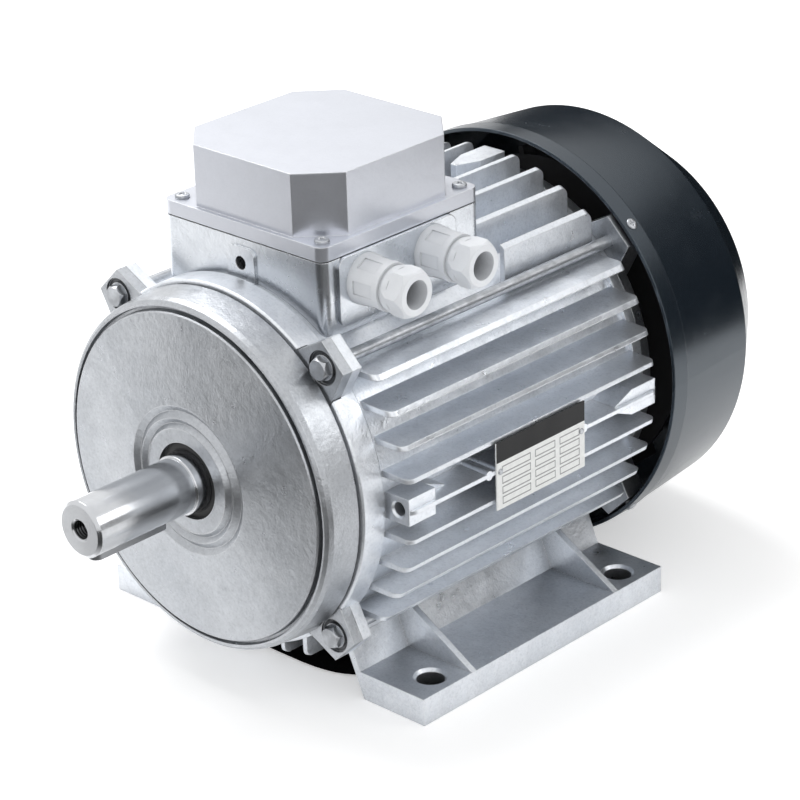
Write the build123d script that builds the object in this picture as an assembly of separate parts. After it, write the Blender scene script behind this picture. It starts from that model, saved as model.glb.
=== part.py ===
from build123d import *
import math
import os

# Three-phase electric motor, foot mounted, frame size 112
# The origin is the centre of the foot bolt pattern on the base plane.
# +Z is up, the shaft points along -Y, the cable glands point along +X.

# Standard frame dimensions
shaft_height = 112.0
foot_hole_spacing_x = 190.0
foot_hole_spacing_y = 140.0
shoulder_to_foot_hole = 70.0
shaft_end_diameter = 28.0
shaft_end_length = 60.0
foot_hole_diameter = 14.0

# Clearances shared by several pieces
casting_gap = 0.3
screw_clearance = 0.5

# Frame casting
bore_radius = 84.0
barrel_wall = 5.5
ring_radius = 91.7
front_ring_length = 14.7
rear_ring_length = 6.0
fin_length = 179.0
fin_front_gap = 2.1
fin_tip_radius = 106.2
fin_pitch = 15.55
fin_tip_thickness = 2.0
fin_root_thickness = 3.4
fin_corner_radius = 4.0
fins_per_half_side = 4
spigot_radius = 86.0
spigot_depth = 7.0

# Drive-end shield
shield_depth = 25.7
shield_rim_radius = 89.8
shield_wall = 6.0
hub_collar_length = 6.5
parting_groove_width = 1.2
parting_groove_depth = 1.5

# Ears and tie bolts that clamp the shields to the frame
tie_bolt_circle = 97.6
tie_bolt_diameter = 6.0
tie_bolt_head_across_flats = 10.0
tie_bolt_head_height = 4.0
tie_bolt_washer_radius = 6.2
tie_bolt_washer_thickness = 1.2
tie_bolt_grip = 10.0
tie_bolt_clearance = 0.2
ear_flat_distance = 107.0
ear_half_width = 9.3
ear_draft_angle = 17.0
ear_thickness = 6.0
ear_spotface_depth = 1.5
ear_spotface_radius = 8.5
rear_ear_length = 12.0

# Flange bosses between the ears
boss_outer_distance = 104.3
boss_half_width = 6.8
boss_length = 18.0
boss_taper_length = 13.0
boss_web_drop = 6.3
boss_thread_diameter = 8.0
boss_hole_depth = 14.0

# Bearings, size 6206
bearing_bore = 30.0
bearing_outside = 62.0
bearing_width = 16.0
ball_diameter = 9.525
ball_count = 9
race_clearance = 0.12
bearing_fit = 0.01

# Stator and rotor
core_length = 130.0
air_gap = 0.5
rotor_radius = 54.5
winding_length = 26.0
rotor_shaft_radius = 19.0
cage_ring_length = 14.0
cage_vane_count = 8

# Shaft
rear_shaft_radius = 12.5
key_width = 8.0
key_height = 7.0
key_depth = 4.0
key_length = 46.0
key_end_gap = 5.0
centre_thread_diameter = 10.0
centre_hole_depth = 22.0

# Fan and cowl
fan_radius = 91.0
fan_hub_radius = 21.0
fan_hub_length = 26.0
fan_blade_height = 26.0
fan_blade_thickness = 3.0
fan_blade_count = 7
fan_shield_gap = 5.0
cowl_ear_gap = 1.5
cowl_band_length = 10.4
cowl_step = 0.6
cowl_shoulder_drop = 4.8
cowl_rear_drop = 27.9
cowl_straight_length = 64.0
cowl_taper_length = 32.2
cowl_thickness = 1.8
cowl_frame_gap = 2.6
grille_ring_count = 6
grille_sector_count = 6
grille_inner_radius = 16.0
grille_slot_width = 4.5
grille_rib_width = 5.0
cowl_screw_diameter = 4.0
cowl_screw_head_radius = 3.0
cowl_screw_head_height = 1.6

# Feet
foot_length = 178.0
foot_overhang = 13.1
foot_plate_thickness = 14.3
foot_plate_width = 39.6
foot_wall_angle = 23.0
foot_wall_thickness = 3.9
foot_seat_height = 30.0
foot_flange_thickness = 7.0
foot_flange_inner = 40.0
gusset_offset = 53.2
gusset_thickness = 3.5
gusset_angle = 30.0
foot_screw_diameter = 8.0
foot_screw_offset_y = 62.0
foot_screw_offset_x = 48.0

# Terminal box and lid
box_width = 107.0
box_length = 107.0
box_wall = 4.0
box_front_gap = 3.6
box_rise = 20.0
box_corner_radius = 5.0
box_floor = 3.0
gasket_thickness = 0.6
gasket_inset = 0.6
lid_flange_thickness = 7.0
lid_height = 30.9
lid_octagon_width = 100.5
lid_octagon_length = 102.0
lid_chamfer = 18.0
lid_wall = 3.0
lid_screw_inset = 6.8
lid_screw_diameter = 4.0
lid_screw_head_radius = 3.6
lid_screw_head_height = 2.2
earth_pad_half_width = 9.0

# Cable glands
gland_spacing = 45.5
gland_centre_y = -41.5
gland_drop = 13.7
gland_pad_thickness = 2.0
gland_bore = 14.0
gland_body_bore = 15.2
gland_thread_radius = 10.0
gland_body_radius = 12.6
gland_body_length = 18.0
gland_groove_width = 1.6
gland_cap_length = 13.0
gland_cap_across_flats = 21.5
gland_flat_width = 6.5
gland_flat_length = 11.0
gland_flat_depth = 0.8

# Nameplate
plate_length = 64.0
plate_height = 35.0
plate_thickness = 0.8
plate_centre_y = -1.4
plate_drop = 2.2
rivet_inset = 2.5
rivet_radius = 0.9
rivet_head_radius = 1.5
rivet_head_height = 0.8
rivet_post_radius = 2.4

# Stations along the shaft axis, worked out from the sizes above
axis_z = shaft_height
shoulder_y = -(foot_hole_spacing_y / 2 + shoulder_to_foot_hole)
tip_y = shoulder_y - shaft_end_length
hub_face_y = shoulder_y + hub_collar_length
front_joint_y = hub_face_y + shield_depth
ring_back_y = front_joint_y + front_ring_length
fin_front_y = ring_back_y + fin_front_gap
fin_rear_y = fin_front_y + fin_length
rear_joint_y = fin_rear_y + rear_ring_length
barrel_radius = bore_radius + barrel_wall
stator_bore = rotor_radius + air_gap
cowl_mouth_radius = ear_flat_distance + cowl_ear_gap + cowl_thickness
cowl_shoulder_radius = cowl_mouth_radius - cowl_shoulder_drop
cowl_rear_radius = cowl_mouth_radius - cowl_rear_drop
box_joint_height = axis_z + barrel_radius + box_rise
gland_centre_height = box_joint_height - gland_drop
cowl_front_y = rear_joint_y + cowl_frame_gap
cowl_rear_y = cowl_front_y + cowl_straight_length + cowl_taper_length

motor_axis = Axis((0, 0, axis_z), (0, 1, 0))


# Helpers for the shapes that repeat through the motor

def turned(profile):
    """Solid of revolution about the shaft axis from (radius, y) points."""
    outline = Polyline(*[(r, y, axis_z) for r, y in profile], close=True)
    return revolve(make_face(outline), axis=motor_axis, revolution_arc=360)


def rod(radius, y0, y1, x=0.0, z=axis_z):
    """Round bar along Y between two stations."""
    bar = Cylinder(radius, y1 - y0, align=(Align.CENTER, Align.CENTER, Align.MIN))
    return Pos(x, y0, z) * Rot(X=-90) * bar


def rod_x(radius, x0, x1, y, z):
    """Round bar along X between two stations."""
    bar = Cylinder(radius, x1 - x0, align=(Align.CENTER, Align.CENTER, Align.MIN))
    return Pos(x0, y, z) * Rot(Y=90) * bar


def rod_z(radius, z0, z1, x, y):
    """Upright round bar between two heights."""
    bar = Cylinder(radius, z1 - z0, align=(Align.CENTER, Align.CENTER, Align.MIN))
    return Pos(x, y, z0) * bar


def block(x0, x1, y0, y1, z0, z1):
    """Rectangular block between two corners."""
    solid = Box(x1 - x0, y1 - y0, z1 - z0, align=(Align.MIN, Align.MIN, Align.MIN))
    return Pos(x0, y0, z0) * solid


def prism_y(points, y0, y1):
    """Straight prism along Y from (x, z) points."""
    outline = Polyline(*[(x, y0, z) for x, z in points], close=True)
    return extrude(make_face(outline), amount=y1 - y0, dir=(0, 1, 0))


def pointing(shape, angle):
    """Turn what points along +X from the shaft axis up towards +Z by an angle."""
    return shape.rotate(motor_axis, -angle)


def hexagon_bar(across_flats, length):
    """Hexagonal bar standing on the origin."""
    flats = RegularPolygon(across_flats / 2, 6, major_radius=False)
    return extrude(flats, amount=length)


def rounded_plate(width, length, radius, thickness):
    """Flat rounded rectangle, centred, standing on the origin."""
    return extrude(RectangleRounded(width, length, radius), amount=thickness)


def save(name, shape):
    """Write one piece of the motor to its own file."""
    export_step(shape, "parts/" + name + ".step")


# Ears stand out at 45 degrees and narrow towards their outer flats

ear_angles = (45, 135, 225, 315)
ear_root_distance = spigot_radius - 2
ear_root_half_width = ear_half_width + (ear_flat_distance - ear_root_distance) * math.tan(
    math.radians(ear_draft_angle))


def ears(y0, y1, grow=0.0):
    """Four tapered ears between two stations."""
    corners = [
        (ear_root_distance, axis_z - ear_root_half_width - grow),
        (ear_flat_distance + grow, axis_z - ear_half_width - grow),
        (ear_flat_distance + grow, axis_z + ear_half_width + grow),
        (ear_root_distance, axis_z + ear_root_half_width + grow),
    ]
    ear = prism_y(corners, y0, y1)
    return Part() + [pointing(ear, angle) for angle in ear_angles]


def at_ears(shape):
    """Copy a shape made on the +X side to the four tie bolt places."""
    return [pointing(shape, angle) for angle in ear_angles]


ear_joint_y = front_joint_y + ear_thickness
frame_ear_back_y = ear_joint_y + ear_thickness
rear_ear_y0 = rear_joint_y + 1.0
rear_ear_y1 = rear_ear_y0 + rear_ear_length
bolt_seat_y = front_joint_y + ear_spotface_depth
rod_end_y = rear_ear_y0 + tie_bolt_grip


# Finned frame casting

def fin(offset, y0, y1):
    """One tapered fin pointing along +X at a height offset from the axis."""
    root = math.sqrt(barrel_radius ** 2 - offset ** 2) - barrel_wall / 2
    corners = [
        (root, axis_z + offset - fin_root_thickness / 2),
        (fin_tip_radius + 1, axis_z + offset - fin_tip_thickness / 2),
        (fin_tip_radius + 1, axis_z + offset + fin_tip_thickness / 2),
        (root, axis_z + offset + fin_root_thickness / 2),
    ]
    return prism_y(corners, y0, y1)


def fin_envelope(y0, y1):
    """Round bar with rounded ends that trims the tips of the fins."""
    sheet = make_face(Polyline(
        (0, y0, axis_z), (fin_tip_radius, y0, axis_z),
        (fin_tip_radius, y1, axis_z), (0, y1, axis_z), close=True))
    outer = sheet.vertices().sort_by(Axis.X)[-2:]
    return revolve(fillet(outer, fin_corner_radius), axis=motor_axis, revolution_arc=360)


def boss_web(face_y, sign, radius):
    """Web behind a flange boss that narrows into the middle fin."""
    root = barrel_radius - barrel_wall / 2
    full_y = face_y + sign * boss_length
    thin_y = full_y + sign * boss_taper_length
    outline = Polyline(
        (root, full_y - sign, axis_z - boss_half_width), (root, full_y, axis_z - boss_half_width),
        (root, thin_y, axis_z - fin_root_thickness / 2), (root, thin_y, axis_z + fin_root_thickness / 2),
        (root, full_y, axis_z + boss_half_width), (root, full_y - sign, axis_z + boss_half_width),
        close=True)
    return extrude(make_face(outline), amount=radius - root, dir=(1, 0, 0))


def front_boss():
    """Flange boss on the +X side: a full block with a lower web behind it."""
    block_part = block(
        barrel_radius - barrel_wall / 2, boss_outer_distance, fin_front_y, fin_front_y + boss_length,
        axis_z - boss_half_width, axis_z + boss_half_width)
    return block_part + boss_web(fin_front_y, 1, boss_outer_distance - boss_web_drop)


def rear_boss():
    """Flange boss on the +X side at the fan end, with a web of its own height."""
    block_part = block(
        barrel_radius - barrel_wall / 2, boss_outer_distance, fin_rear_y - boss_length, fin_rear_y,
        axis_z - boss_half_width, axis_z + boss_half_width)
    return block_part + boss_web(fin_rear_y, -1, boss_outer_distance)


box_front_y = ring_back_y + box_front_gap
box_rear_y = box_front_y + box_length
box_centre_y = (box_front_y + box_rear_y) / 2
box_half = box_width / 2
top_fin_y0 = box_rear_y
corner_fin_y0 = box_rear_y + 5.5


def frame_fins():
    """Fins on all four sides, with room for the box above and the feet below."""
    bars = []
    for k in range(-fins_per_half_side, fins_per_half_side + 1):
        offset = k * fin_pitch
        bars.append(fin(offset, fin_front_y, fin_rear_y))
        bars.append(pointing(fin(offset, fin_front_y, fin_rear_y), 180))
        if abs(k) == fins_per_half_side:
            bars.append(pointing(fin(offset, corner_fin_y0, fin_rear_y), 90))
        elif k != 0:
            bars.append(pointing(fin(offset, top_fin_y0, fin_rear_y), 90))
        if abs(k) <= fins_per_half_side - 2:
            bars.append(pointing(fin(offset, fin_front_y, fin_rear_y), 270))
    return (Part() + bars) & fin_envelope(fin_front_y, fin_rear_y)


def foot_wall_x(height):
    """Outer face of the leaning foot wall at a height."""
    lean = math.tan(math.radians(foot_wall_angle))
    plate_inner = foot_outer_x - foot_plate_width
    return plate_inner + foot_wall_thickness - lean * height


foot_outer_x = foot_hole_spacing_x / 2 + foot_overhang


def foot_pads():
    """Flat seats under the barrel that the two feet bolt up to."""
    high = foot_seat_height + 12.0
    corners = [
        (foot_flange_inner - 2, foot_seat_height),
        (foot_wall_x(foot_seat_height), foot_seat_height),
        (foot_wall_x(high), high),
        (foot_flange_inner - 2, foot_seat_height + 4.0),
    ]
    pad = prism_y(corners, fin_front_y + 4, fin_rear_y - 4)
    return pad + mirror(pad, about=Plane.YZ)


foot_screw_places = [
    (side * foot_screw_offset_x, end * foot_screw_offset_y)
    for side in (-1, 1) for end in (-1, 1)
]
foot_screw_top = foot_seat_height + 9.0
rivet_places = [
    plate_centre_y - plate_length / 2 + rivet_inset,
    plate_centre_y + plate_length / 2 - rivet_inset,
]
post_places = rivet_places + [
    plate_centre_y - plate_length / 2 - 4.1,
    plate_centre_y + plate_length / 2 + 0.9,
]


def frame():
    """Finned casting with rings, bosses, ears, foot pads and tapped holes."""
    body = turned([
        (barrel_radius - barrel_wall / 2, front_joint_y),
        (ring_radius - 0.8, front_joint_y), (ring_radius, front_joint_y + 0.8),
        (ring_radius, ring_back_y - 0.8), (ring_radius - 0.8, ring_back_y),
        (barrel_radius, ring_back_y),
        (barrel_radius, fin_rear_y), (ring_radius, fin_rear_y),
        (ring_radius, rear_joint_y), (barrel_radius - barrel_wall / 2, rear_joint_y),
    ])
    body += frame_fins()
    for angle in (0, 180, 270):
        body += pointing(front_boss(), angle)
    for angle in (0, 90, 180, 270):
        body += pointing(rear_boss(), angle)
    body += foot_pads()
    for y in post_places:
        body += rod_x(rivet_post_radius, barrel_radius - 1, fin_tip_radius, y, axis_z)
    body -= ears(front_joint_y - 1, ear_joint_y, casting_gap)
    body += ears(ear_joint_y, frame_ear_back_y)
    body -= turned([
        (0, front_joint_y - 1), (spigot_radius, front_joint_y - 1),
        (spigot_radius, front_joint_y + spigot_depth), (bore_radius, front_joint_y + spigot_depth),
        (bore_radius, rear_joint_y - spigot_depth), (spigot_radius, rear_joint_y - spigot_depth),
        (spigot_radius, rear_joint_y + 1), (0, rear_joint_y + 1),
    ])
    shank = rod(tie_bolt_diameter / 2 + tie_bolt_clearance, front_joint_y, rear_joint_y + 1,
                x=tie_bolt_circle)
    body -= at_ears(shank)
    for angle in (0, 180, 270):
        body -= pointing(boss_hole(), angle)
    for x, y in foot_screw_places:
        body -= rod_z(foot_screw_diameter / 2, foot_seat_height - 1, foot_screw_top, x, y)
    for y in rivet_places:
        body -= rod_x(rivet_radius, fin_tip_radius - 8, fin_tip_radius + 1, y, axis_z)
    passage = block(-15, 15, passage_y0, passage_y1, axis_z + bore_radius - 8, axis_z + ring_radius + 1)
    body -= passage
    return body


def boss_hole():
    """Tapped hole in the front face of a flange boss, with its countersink."""
    radius = boss_thread_diameter * 0.85 / 2
    hole = rod(radius, fin_front_y - 1, fin_front_y + boss_hole_depth, x=tie_bolt_circle)
    sink = Pos(tie_bolt_circle, fin_front_y, axis_z) * Rot(X=-90) * Cone(
        radius + 1.0, radius, 1.0, align=(Align.CENTER, Align.CENTER, Align.MIN))
    return hole + sink


passage_y0 = box_front_y + box_wall + 1.0
passage_y1 = passage_y0 + 9.0


# Drive-end shield with its bearing seat

front_bearing_y1 = front_joint_y - 0.2
front_bearing_y0 = front_bearing_y1 - bearing_width
seal_y0 = hub_face_y + 2.5
seal_outer_radius = 19.3


def drive_end_shield():
    """Turned dished shield with a ring groove, hub rings, spigot and ears."""
    bearing_seat = bearing_outside / 2 + bearing_fit
    hub_radius = bearing_outside / 2 + shield_wall
    body = turned([
        (seal_outer_radius, hub_face_y + 0.4), (26.2, hub_face_y + 0.4), (26.6, hub_face_y),
        (28.8, hub_face_y + 2.4), (31.4, hub_face_y + 0.5), (34.6, hub_face_y + 3.0),
        (37.6, hub_face_y + 1.0), (82.4, hub_face_y + 4.3), (82.9, hub_face_y + 5.0),
        (83.1, hub_face_y + 8.4), (84.7, hub_face_y + 8.4), (85.0, hub_face_y + 5.6),
        (86.2, hub_face_y + 5.4), (87.8, hub_face_y + 6.8), (88.6, hub_face_y + 9.4),
        (shield_rim_radius, front_joint_y - parting_groove_width),
        (shield_rim_radius - parting_groove_depth, front_joint_y - parting_groove_width),
        (shield_rim_radius - parting_groove_depth, front_joint_y),
        (spigot_radius - 0.05, front_joint_y), (spigot_radius - 0.05, front_joint_y + spigot_depth),
        (spigot_radius - shield_wall, front_joint_y + spigot_depth),
        (spigot_radius - shield_wall, hub_face_y + 10.0 + shield_wall),
        (spigot_radius - shield_wall - 6, hub_face_y + 5.0 + shield_wall),
        (hub_radius + 13, hub_face_y + 3.0 + shield_wall), (hub_radius + 9, hub_face_y + 6.0 + shield_wall),
        (hub_radius, front_bearing_y1 + 1.5), (bearing_seat, front_bearing_y1 + 1.5),
        (bearing_seat, front_bearing_y0), (seal_outer_radius, front_bearing_y0),
    ])
    rib = Pos(0, 0, axis_z) * block(
        hub_radius - 1, spigot_radius - shield_wall + 1,
        hub_face_y + 3.0 + shield_wall - 1, front_joint_y - 2, -2, 2)
    body += [pointing(rib, angle) for angle in range(0, 360, 45)]
    body += ears(front_joint_y, ear_joint_y)
    hollow = turned([
        (0, front_joint_y - 0.5), (spigot_radius - shield_wall, front_joint_y - 0.5),
        (spigot_radius - shield_wall, ear_joint_y + 1), (0, ear_joint_y + 1),
    ])
    hub_keep = turned([
        (bearing_seat, front_joint_y - 1), (hub_radius, front_joint_y - 1),
        (hub_radius, front_bearing_y1 + 1.5), (bearing_seat, front_bearing_y1 + 1.5),
    ])
    body = body - hollow + hub_keep
    spot = rod(ear_spotface_radius, hub_face_y - 5, bolt_seat_y, x=tie_bolt_circle)
    body -= at_ears(spot)
    hole = rod(tie_bolt_diameter / 2 + tie_bolt_clearance, hub_face_y, ear_joint_y + 1,
               x=tie_bolt_circle)
    body -= at_ears(hole)
    return body


# Fan-end shield inside the cowl mouth

rear_bearing_y0 = rear_joint_y + 1.0
rear_bearing_y1 = rear_bearing_y0 + bearing_width
wave_thickness = 1.2
rear_wall_y0 = rear_bearing_y1 + wave_thickness
rear_wall_y1 = rear_wall_y0 + 4.0
rear_seal_radius = 18.0


def fan_end_shield():
    """Rear shield: dished wall, bearing hub, ribs and four tapped ears."""
    bearing_seat = bearing_outside / 2 + bearing_fit
    hub_radius = bearing_outside / 2 + shield_wall
    body = turned([
        (spigot_radius - 0.05, rear_joint_y - spigot_depth), (spigot_radius - 0.05, rear_joint_y),
        (ring_radius, rear_joint_y), (ring_radius, rear_joint_y + shield_wall),
        (hub_radius + 6, rear_joint_y + shield_wall + 3), (hub_radius, rear_wall_y1 - 2),
        (hub_radius - 3, rear_wall_y1), (rear_seal_radius, rear_wall_y1),
        (rear_seal_radius, rear_wall_y0), (bearing_seat, rear_wall_y0),
        (bearing_seat, rear_bearing_y0 - 1.5), (hub_radius, rear_bearing_y0 - 1.5),
        (hub_radius, rear_joint_y + 0.5), (spigot_radius - shield_wall, rear_joint_y + 0.5),
        (spigot_radius - shield_wall, rear_joint_y - spigot_depth),
    ])
    body += ears(rear_joint_y, rear_ear_y1)
    body -= turned([
        (0, rear_joint_y - spigot_depth - 1), (spigot_radius - shield_wall, rear_joint_y - spigot_depth - 1),
        (spigot_radius - shield_wall, rear_joint_y + 0.4), (0, rear_joint_y + 0.4),
    ]) - turned([
        (bearing_seat, rear_bearing_y0 - 1.5), (hub_radius, rear_bearing_y0 - 1.5),
        (hub_radius, rear_joint_y + 1), (bearing_seat, rear_joint_y + 1),
    ])
    rib = Pos(0, 0, axis_z) * prism_rib(hub_radius)
    body += [pointing(rib, angle) for angle in ear_angles]
    tap = rod(tie_bolt_diameter / 2, rear_joint_y - 1, rod_end_y, x=tie_bolt_circle)
    body -= at_ears(tap)
    screw = rod_x(cowl_screw_diameter / 2, cowl_screw_inner, cowl_mouth_radius, cowl_screw_y, axis_z)
    body -= at_ears(screw)
    return body


def prism_rib(hub_radius):
    """Rib that falls from the hub to an ear, drawn about the axis height."""
    outline = Polyline(
        (hub_radius - 2, rear_joint_y + 2, -2.0), (ear_root_distance + 4, rear_joint_y + 2, -2.0),
        (ear_root_distance + 4, rear_ear_y1 - 3, -2.0), (hub_radius - 2, rear_wall_y1 - 3, -2.0),
        close=True)
    return extrude(make_face(outline), amount=4.0, dir=(0, 0, 1))


cowl_screw_y = cowl_front_y + cowl_band_length / 2
cowl_screw_inner = tie_bolt_circle + tie_bolt_diameter / 2 + 0.8


# Tie bolts, each a long bar with a hexagon head at the drive end

head_y1 = bolt_seat_y - tie_bolt_washer_thickness


def tie_bolts():
    """Four long hexagon bolts from the front ears to the rear ears."""
    head = Pos(tie_bolt_circle, head_y1, axis_z) * Rot(X=90) * hexagon_bar(
        tie_bolt_head_across_flats, tie_bolt_head_height)
    crown = Pos(tie_bolt_circle, head_y1, axis_z) * Rot(X=90) * Cone(
        tie_bolt_head_across_flats * 0.68, tie_bolt_head_across_flats * 0.48,
        tie_bolt_head_height, align=(Align.CENTER, Align.CENTER, Align.MIN))
    shank = rod(tie_bolt_diameter / 2, head_y1, rod_end_y, x=tie_bolt_circle)
    return Part() + at_ears((head & crown) + shank)


def tie_bolt_washers():
    """Plain washers under the bolt heads."""
    ring = rod(tie_bolt_washer_radius, head_y1, bolt_seat_y, x=tie_bolt_circle)
    ring -= rod(tie_bolt_diameter / 2 + tie_bolt_clearance, head_y1 - 1, bolt_seat_y + 1, x=tie_bolt_circle)
    return Part() + at_ears(ring)


# Stator core and end windings

core_y0 = -(core_length / 2) + (front_joint_y + rear_joint_y) / 2
core_y1 = core_y0 + core_length


def stator_core():
    """Laminated ring pressed into the frame bore."""
    return turned([
        (stator_bore, core_y0), (bore_radius, core_y0), (bore_radius, core_y1), (stator_bore, core_y1),
    ])


def winding(y_core, outwards):
    """Bundle of end turns that stands out from one end of the core."""
    inner = stator_bore + 2.0
    outer = bore_radius - spigot_depth
    y_end = y_core + outwards * winding_length
    y_mid = y_core + outwards * winding_length * 0.6
    return turned([
        (inner, y_core), (outer, y_core), (outer, y_mid),
        (outer - 5, y_end), (inner + 6, y_end), (inner, y_mid),
    ])


# Ball bearings

pitch_radius = (bearing_bore + bearing_outside) / 4
ball_radius = ball_diameter / 2
land_gap = 3.4


def race_groove(y_mid):
    """Ring-shaped space that the balls run in."""
    tube = make_face(Pos(pitch_radius, y_mid, axis_z) * Circle(ball_radius + race_clearance).edge())
    return revolve(tube, axis=motor_axis, revolution_arc=360)


def bearing_outer_ring(y0):
    """Outer ring with a thin dust shield on each side."""
    inner_land = pitch_radius + land_gap
    shield_edge = pitch_radius - land_gap + 0.4
    ring = turned([
        (inner_land, y0), (bearing_outside / 2, y0),
        (bearing_outside / 2, y0 + bearing_width), (inner_land, y0 + bearing_width),
    ])
    ring -= race_groove(y0 + bearing_width / 2)
    for face_y in (y0 + 0.4, y0 + bearing_width - 1.2):
        ring += turned([
            (shield_edge, face_y), (inner_land + 0.5, face_y),
            (inner_land + 0.5, face_y + 0.8), (shield_edge, face_y + 0.8),
        ])
    return ring


def bearing_inner_ring(y0):
    """Inner ring pressed on the shaft."""
    outer_land = pitch_radius - land_gap
    ring = turned([
        (bearing_bore / 2, y0), (outer_land, y0),
        (outer_land, y0 + bearing_width), (bearing_bore / 2, y0 + bearing_width),
    ])
    return ring - race_groove(y0 + bearing_width / 2)


def ball_set(y0):
    """Balls held by their cage ring."""
    y_mid = y0 + bearing_width / 2
    cage = turned([
        (pitch_radius - 1.2, y_mid - 3.2), (pitch_radius + 1.2, y_mid - 3.2),
        (pitch_radius + 1.2, y_mid + 3.2), (pitch_radius - 1.2, y_mid + 3.2),
    ])
    ball = Pos(pitch_radius, y_mid, axis_z) * Sphere(ball_radius)
    return cage + [pointing(ball, i * 360 / ball_count) for i in range(ball_count)]


def wave_washer():
    """Spring ring that preloads the rear bearing."""
    return turned([
        (bearing_outside / 2 - 5, rear_bearing_y1), (bearing_outside / 2 - 0.5, rear_bearing_y1),
        (bearing_outside / 2 - 0.5, rear_wall_y0), (bearing_outside / 2 - 5, rear_wall_y0),
    ])


def lip_seal(y0, y1, outer, shaft_radius):
    """Rubber seal that runs round the shaft."""
    lip = shaft_radius + 0.05
    return turned([
        (lip, y0), (lip + 1.2, y0 - 0.6), (outer, y0), (outer, y1), (lip + 1.5, y1), (lip, y1 - 1.2),
    ])


# Shaft, key, rotor and fan

fan_y0 = rear_wall_y1 + fan_shield_gap
fan_y1 = fan_y0 + fan_hub_length
clip_y0 = fan_y1 + 0.1
clip_thickness = 1.5
rear_tip_y = clip_y0 + clip_thickness + 4.0
rotor_y0 = core_y0
rotor_y1 = core_y1
fan_key_width = 6.0


def shaft():
    """Stepped shaft with keyways, a tapped centre and a circlip groove."""
    end_r = shaft_end_diameter / 2
    seat_r = bearing_bore / 2
    body = turned([
        (0, tip_y), (end_r - 1.5, tip_y), (end_r, tip_y + 1.5), (end_r, shoulder_y),
        (seat_r - 0.5, shoulder_y), (seat_r, shoulder_y + 0.5), (seat_r, front_bearing_y1),
        (rotor_shaft_radius, front_bearing_y1), (rotor_shaft_radius, rear_bearing_y0),
        (seat_r, rear_bearing_y0), (seat_r, rear_bearing_y1 + 0.5),
        (rear_shaft_radius, rear_bearing_y1 + 0.5), (rear_shaft_radius, clip_y0),
        (rear_shaft_radius - 1, clip_y0), (rear_shaft_radius - 1, clip_y0 + clip_thickness),
        (rear_shaft_radius, clip_y0 + clip_thickness), (rear_shaft_radius, rear_tip_y - 1),
        (rear_shaft_radius - 1, rear_tip_y), (0, rear_tip_y),
    ])
    body -= key_shape(axis_z - end_r - 1)
    body -= fan_key(1.0)
    thread_radius = centre_thread_diameter * 0.85 / 2
    body -= rod(thread_radius, tip_y - 1, tip_y + centre_hole_depth)
    body -= Pos(0, tip_y, axis_z) * Rot(X=-90) * Cone(
        thread_radius + 1.4, thread_radius, 1.4, align=(Align.CENTER, Align.CENTER, Align.MIN))
    return body


def key_shape(bottom_z):
    """Round-ended key under the shaft end, from a chosen underside upwards."""
    top_z = axis_z - shaft_end_diameter / 2 + key_depth
    y_mid = tip_y + key_end_gap + key_length / 2
    plan = Pos(0, y_mid, bottom_z) * SlotOverall(key_length, key_width, rotation=90)
    return extrude(plan, amount=top_z - bottom_z)


def shaft_key():
    """Parallel key standing out under the shaft end."""
    return key_shape(axis_z - shaft_end_diameter / 2 + key_depth - key_height)


def fan_key(extra=0.0):
    """Square key between the rear shaft end and the fan hub."""
    half = fan_key_width / 2
    low = axis_z + rear_shaft_radius - half
    return block(-half, half, fan_y0 + 2, fan_y1 - 2, low, low + fan_key_width + extra)


def rotor_core():
    """Laminated rotor on the shaft."""
    return turned([
        (rotor_shaft_radius, rotor_y0), (rotor_radius, rotor_y0),
        (rotor_radius, rotor_y1), (rotor_shaft_radius, rotor_y1),
    ])


def rotor_cage():
    """Cast end rings of the cage with short cooling vanes."""
    rings = []
    for y0, y1 in ((rotor_y0 - cage_ring_length, rotor_y0), (rotor_y1, rotor_y1 + cage_ring_length)):
        rings.append(turned([
            (rotor_radius - 18, y0), (rotor_radius - 3, y0),
            (rotor_radius - 3, y1), (rotor_radius - 18, y1),
        ]))
    vane = Pos(0, 0, axis_z) * block(
        rotor_radius - 15, rotor_radius - 5, rotor_y0 - cage_ring_length - 8,
        rotor_y0 - cage_ring_length + 1, -1.5, 1.5)
    back_vane = Pos(0, 0, axis_z) * block(
        rotor_radius - 15, rotor_radius - 5, rotor_y1 + cage_ring_length - 1,
        rotor_y1 + cage_ring_length + 8, -1.5, 1.5)
    step = 360 / cage_vane_count
    vanes = [pointing(vane, i * step) for i in range(cage_vane_count)]
    vanes += [pointing(back_vane, i * step) for i in range(cage_vane_count)]
    return Part() + rings + vanes


def fan():
    """Radial fan: hub, dished back plate and straight blades."""
    hub_bore = rear_shaft_radius
    body = turned([
        (hub_bore, fan_y0), (fan_hub_radius, fan_y0), (fan_hub_radius, fan_y0 + 3),
        (fan_radius - 4, fan_y0 + 9), (fan_radius - 4, fan_y0 + 11.5),
        (fan_hub_radius, fan_y0 + 6), (fan_hub_radius - 1, fan_y1), (hub_bore, fan_y1),
    ])
    blade = Pos(0, 0, axis_z) * prism_blade()
    body += [pointing(blade, i * 360 / fan_blade_count) for i in range(fan_blade_count)]
    body -= fan_key()
    body -= rod(hub_bore, fan_y0 - 1, fan_y1 + 1)
    return body


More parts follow.
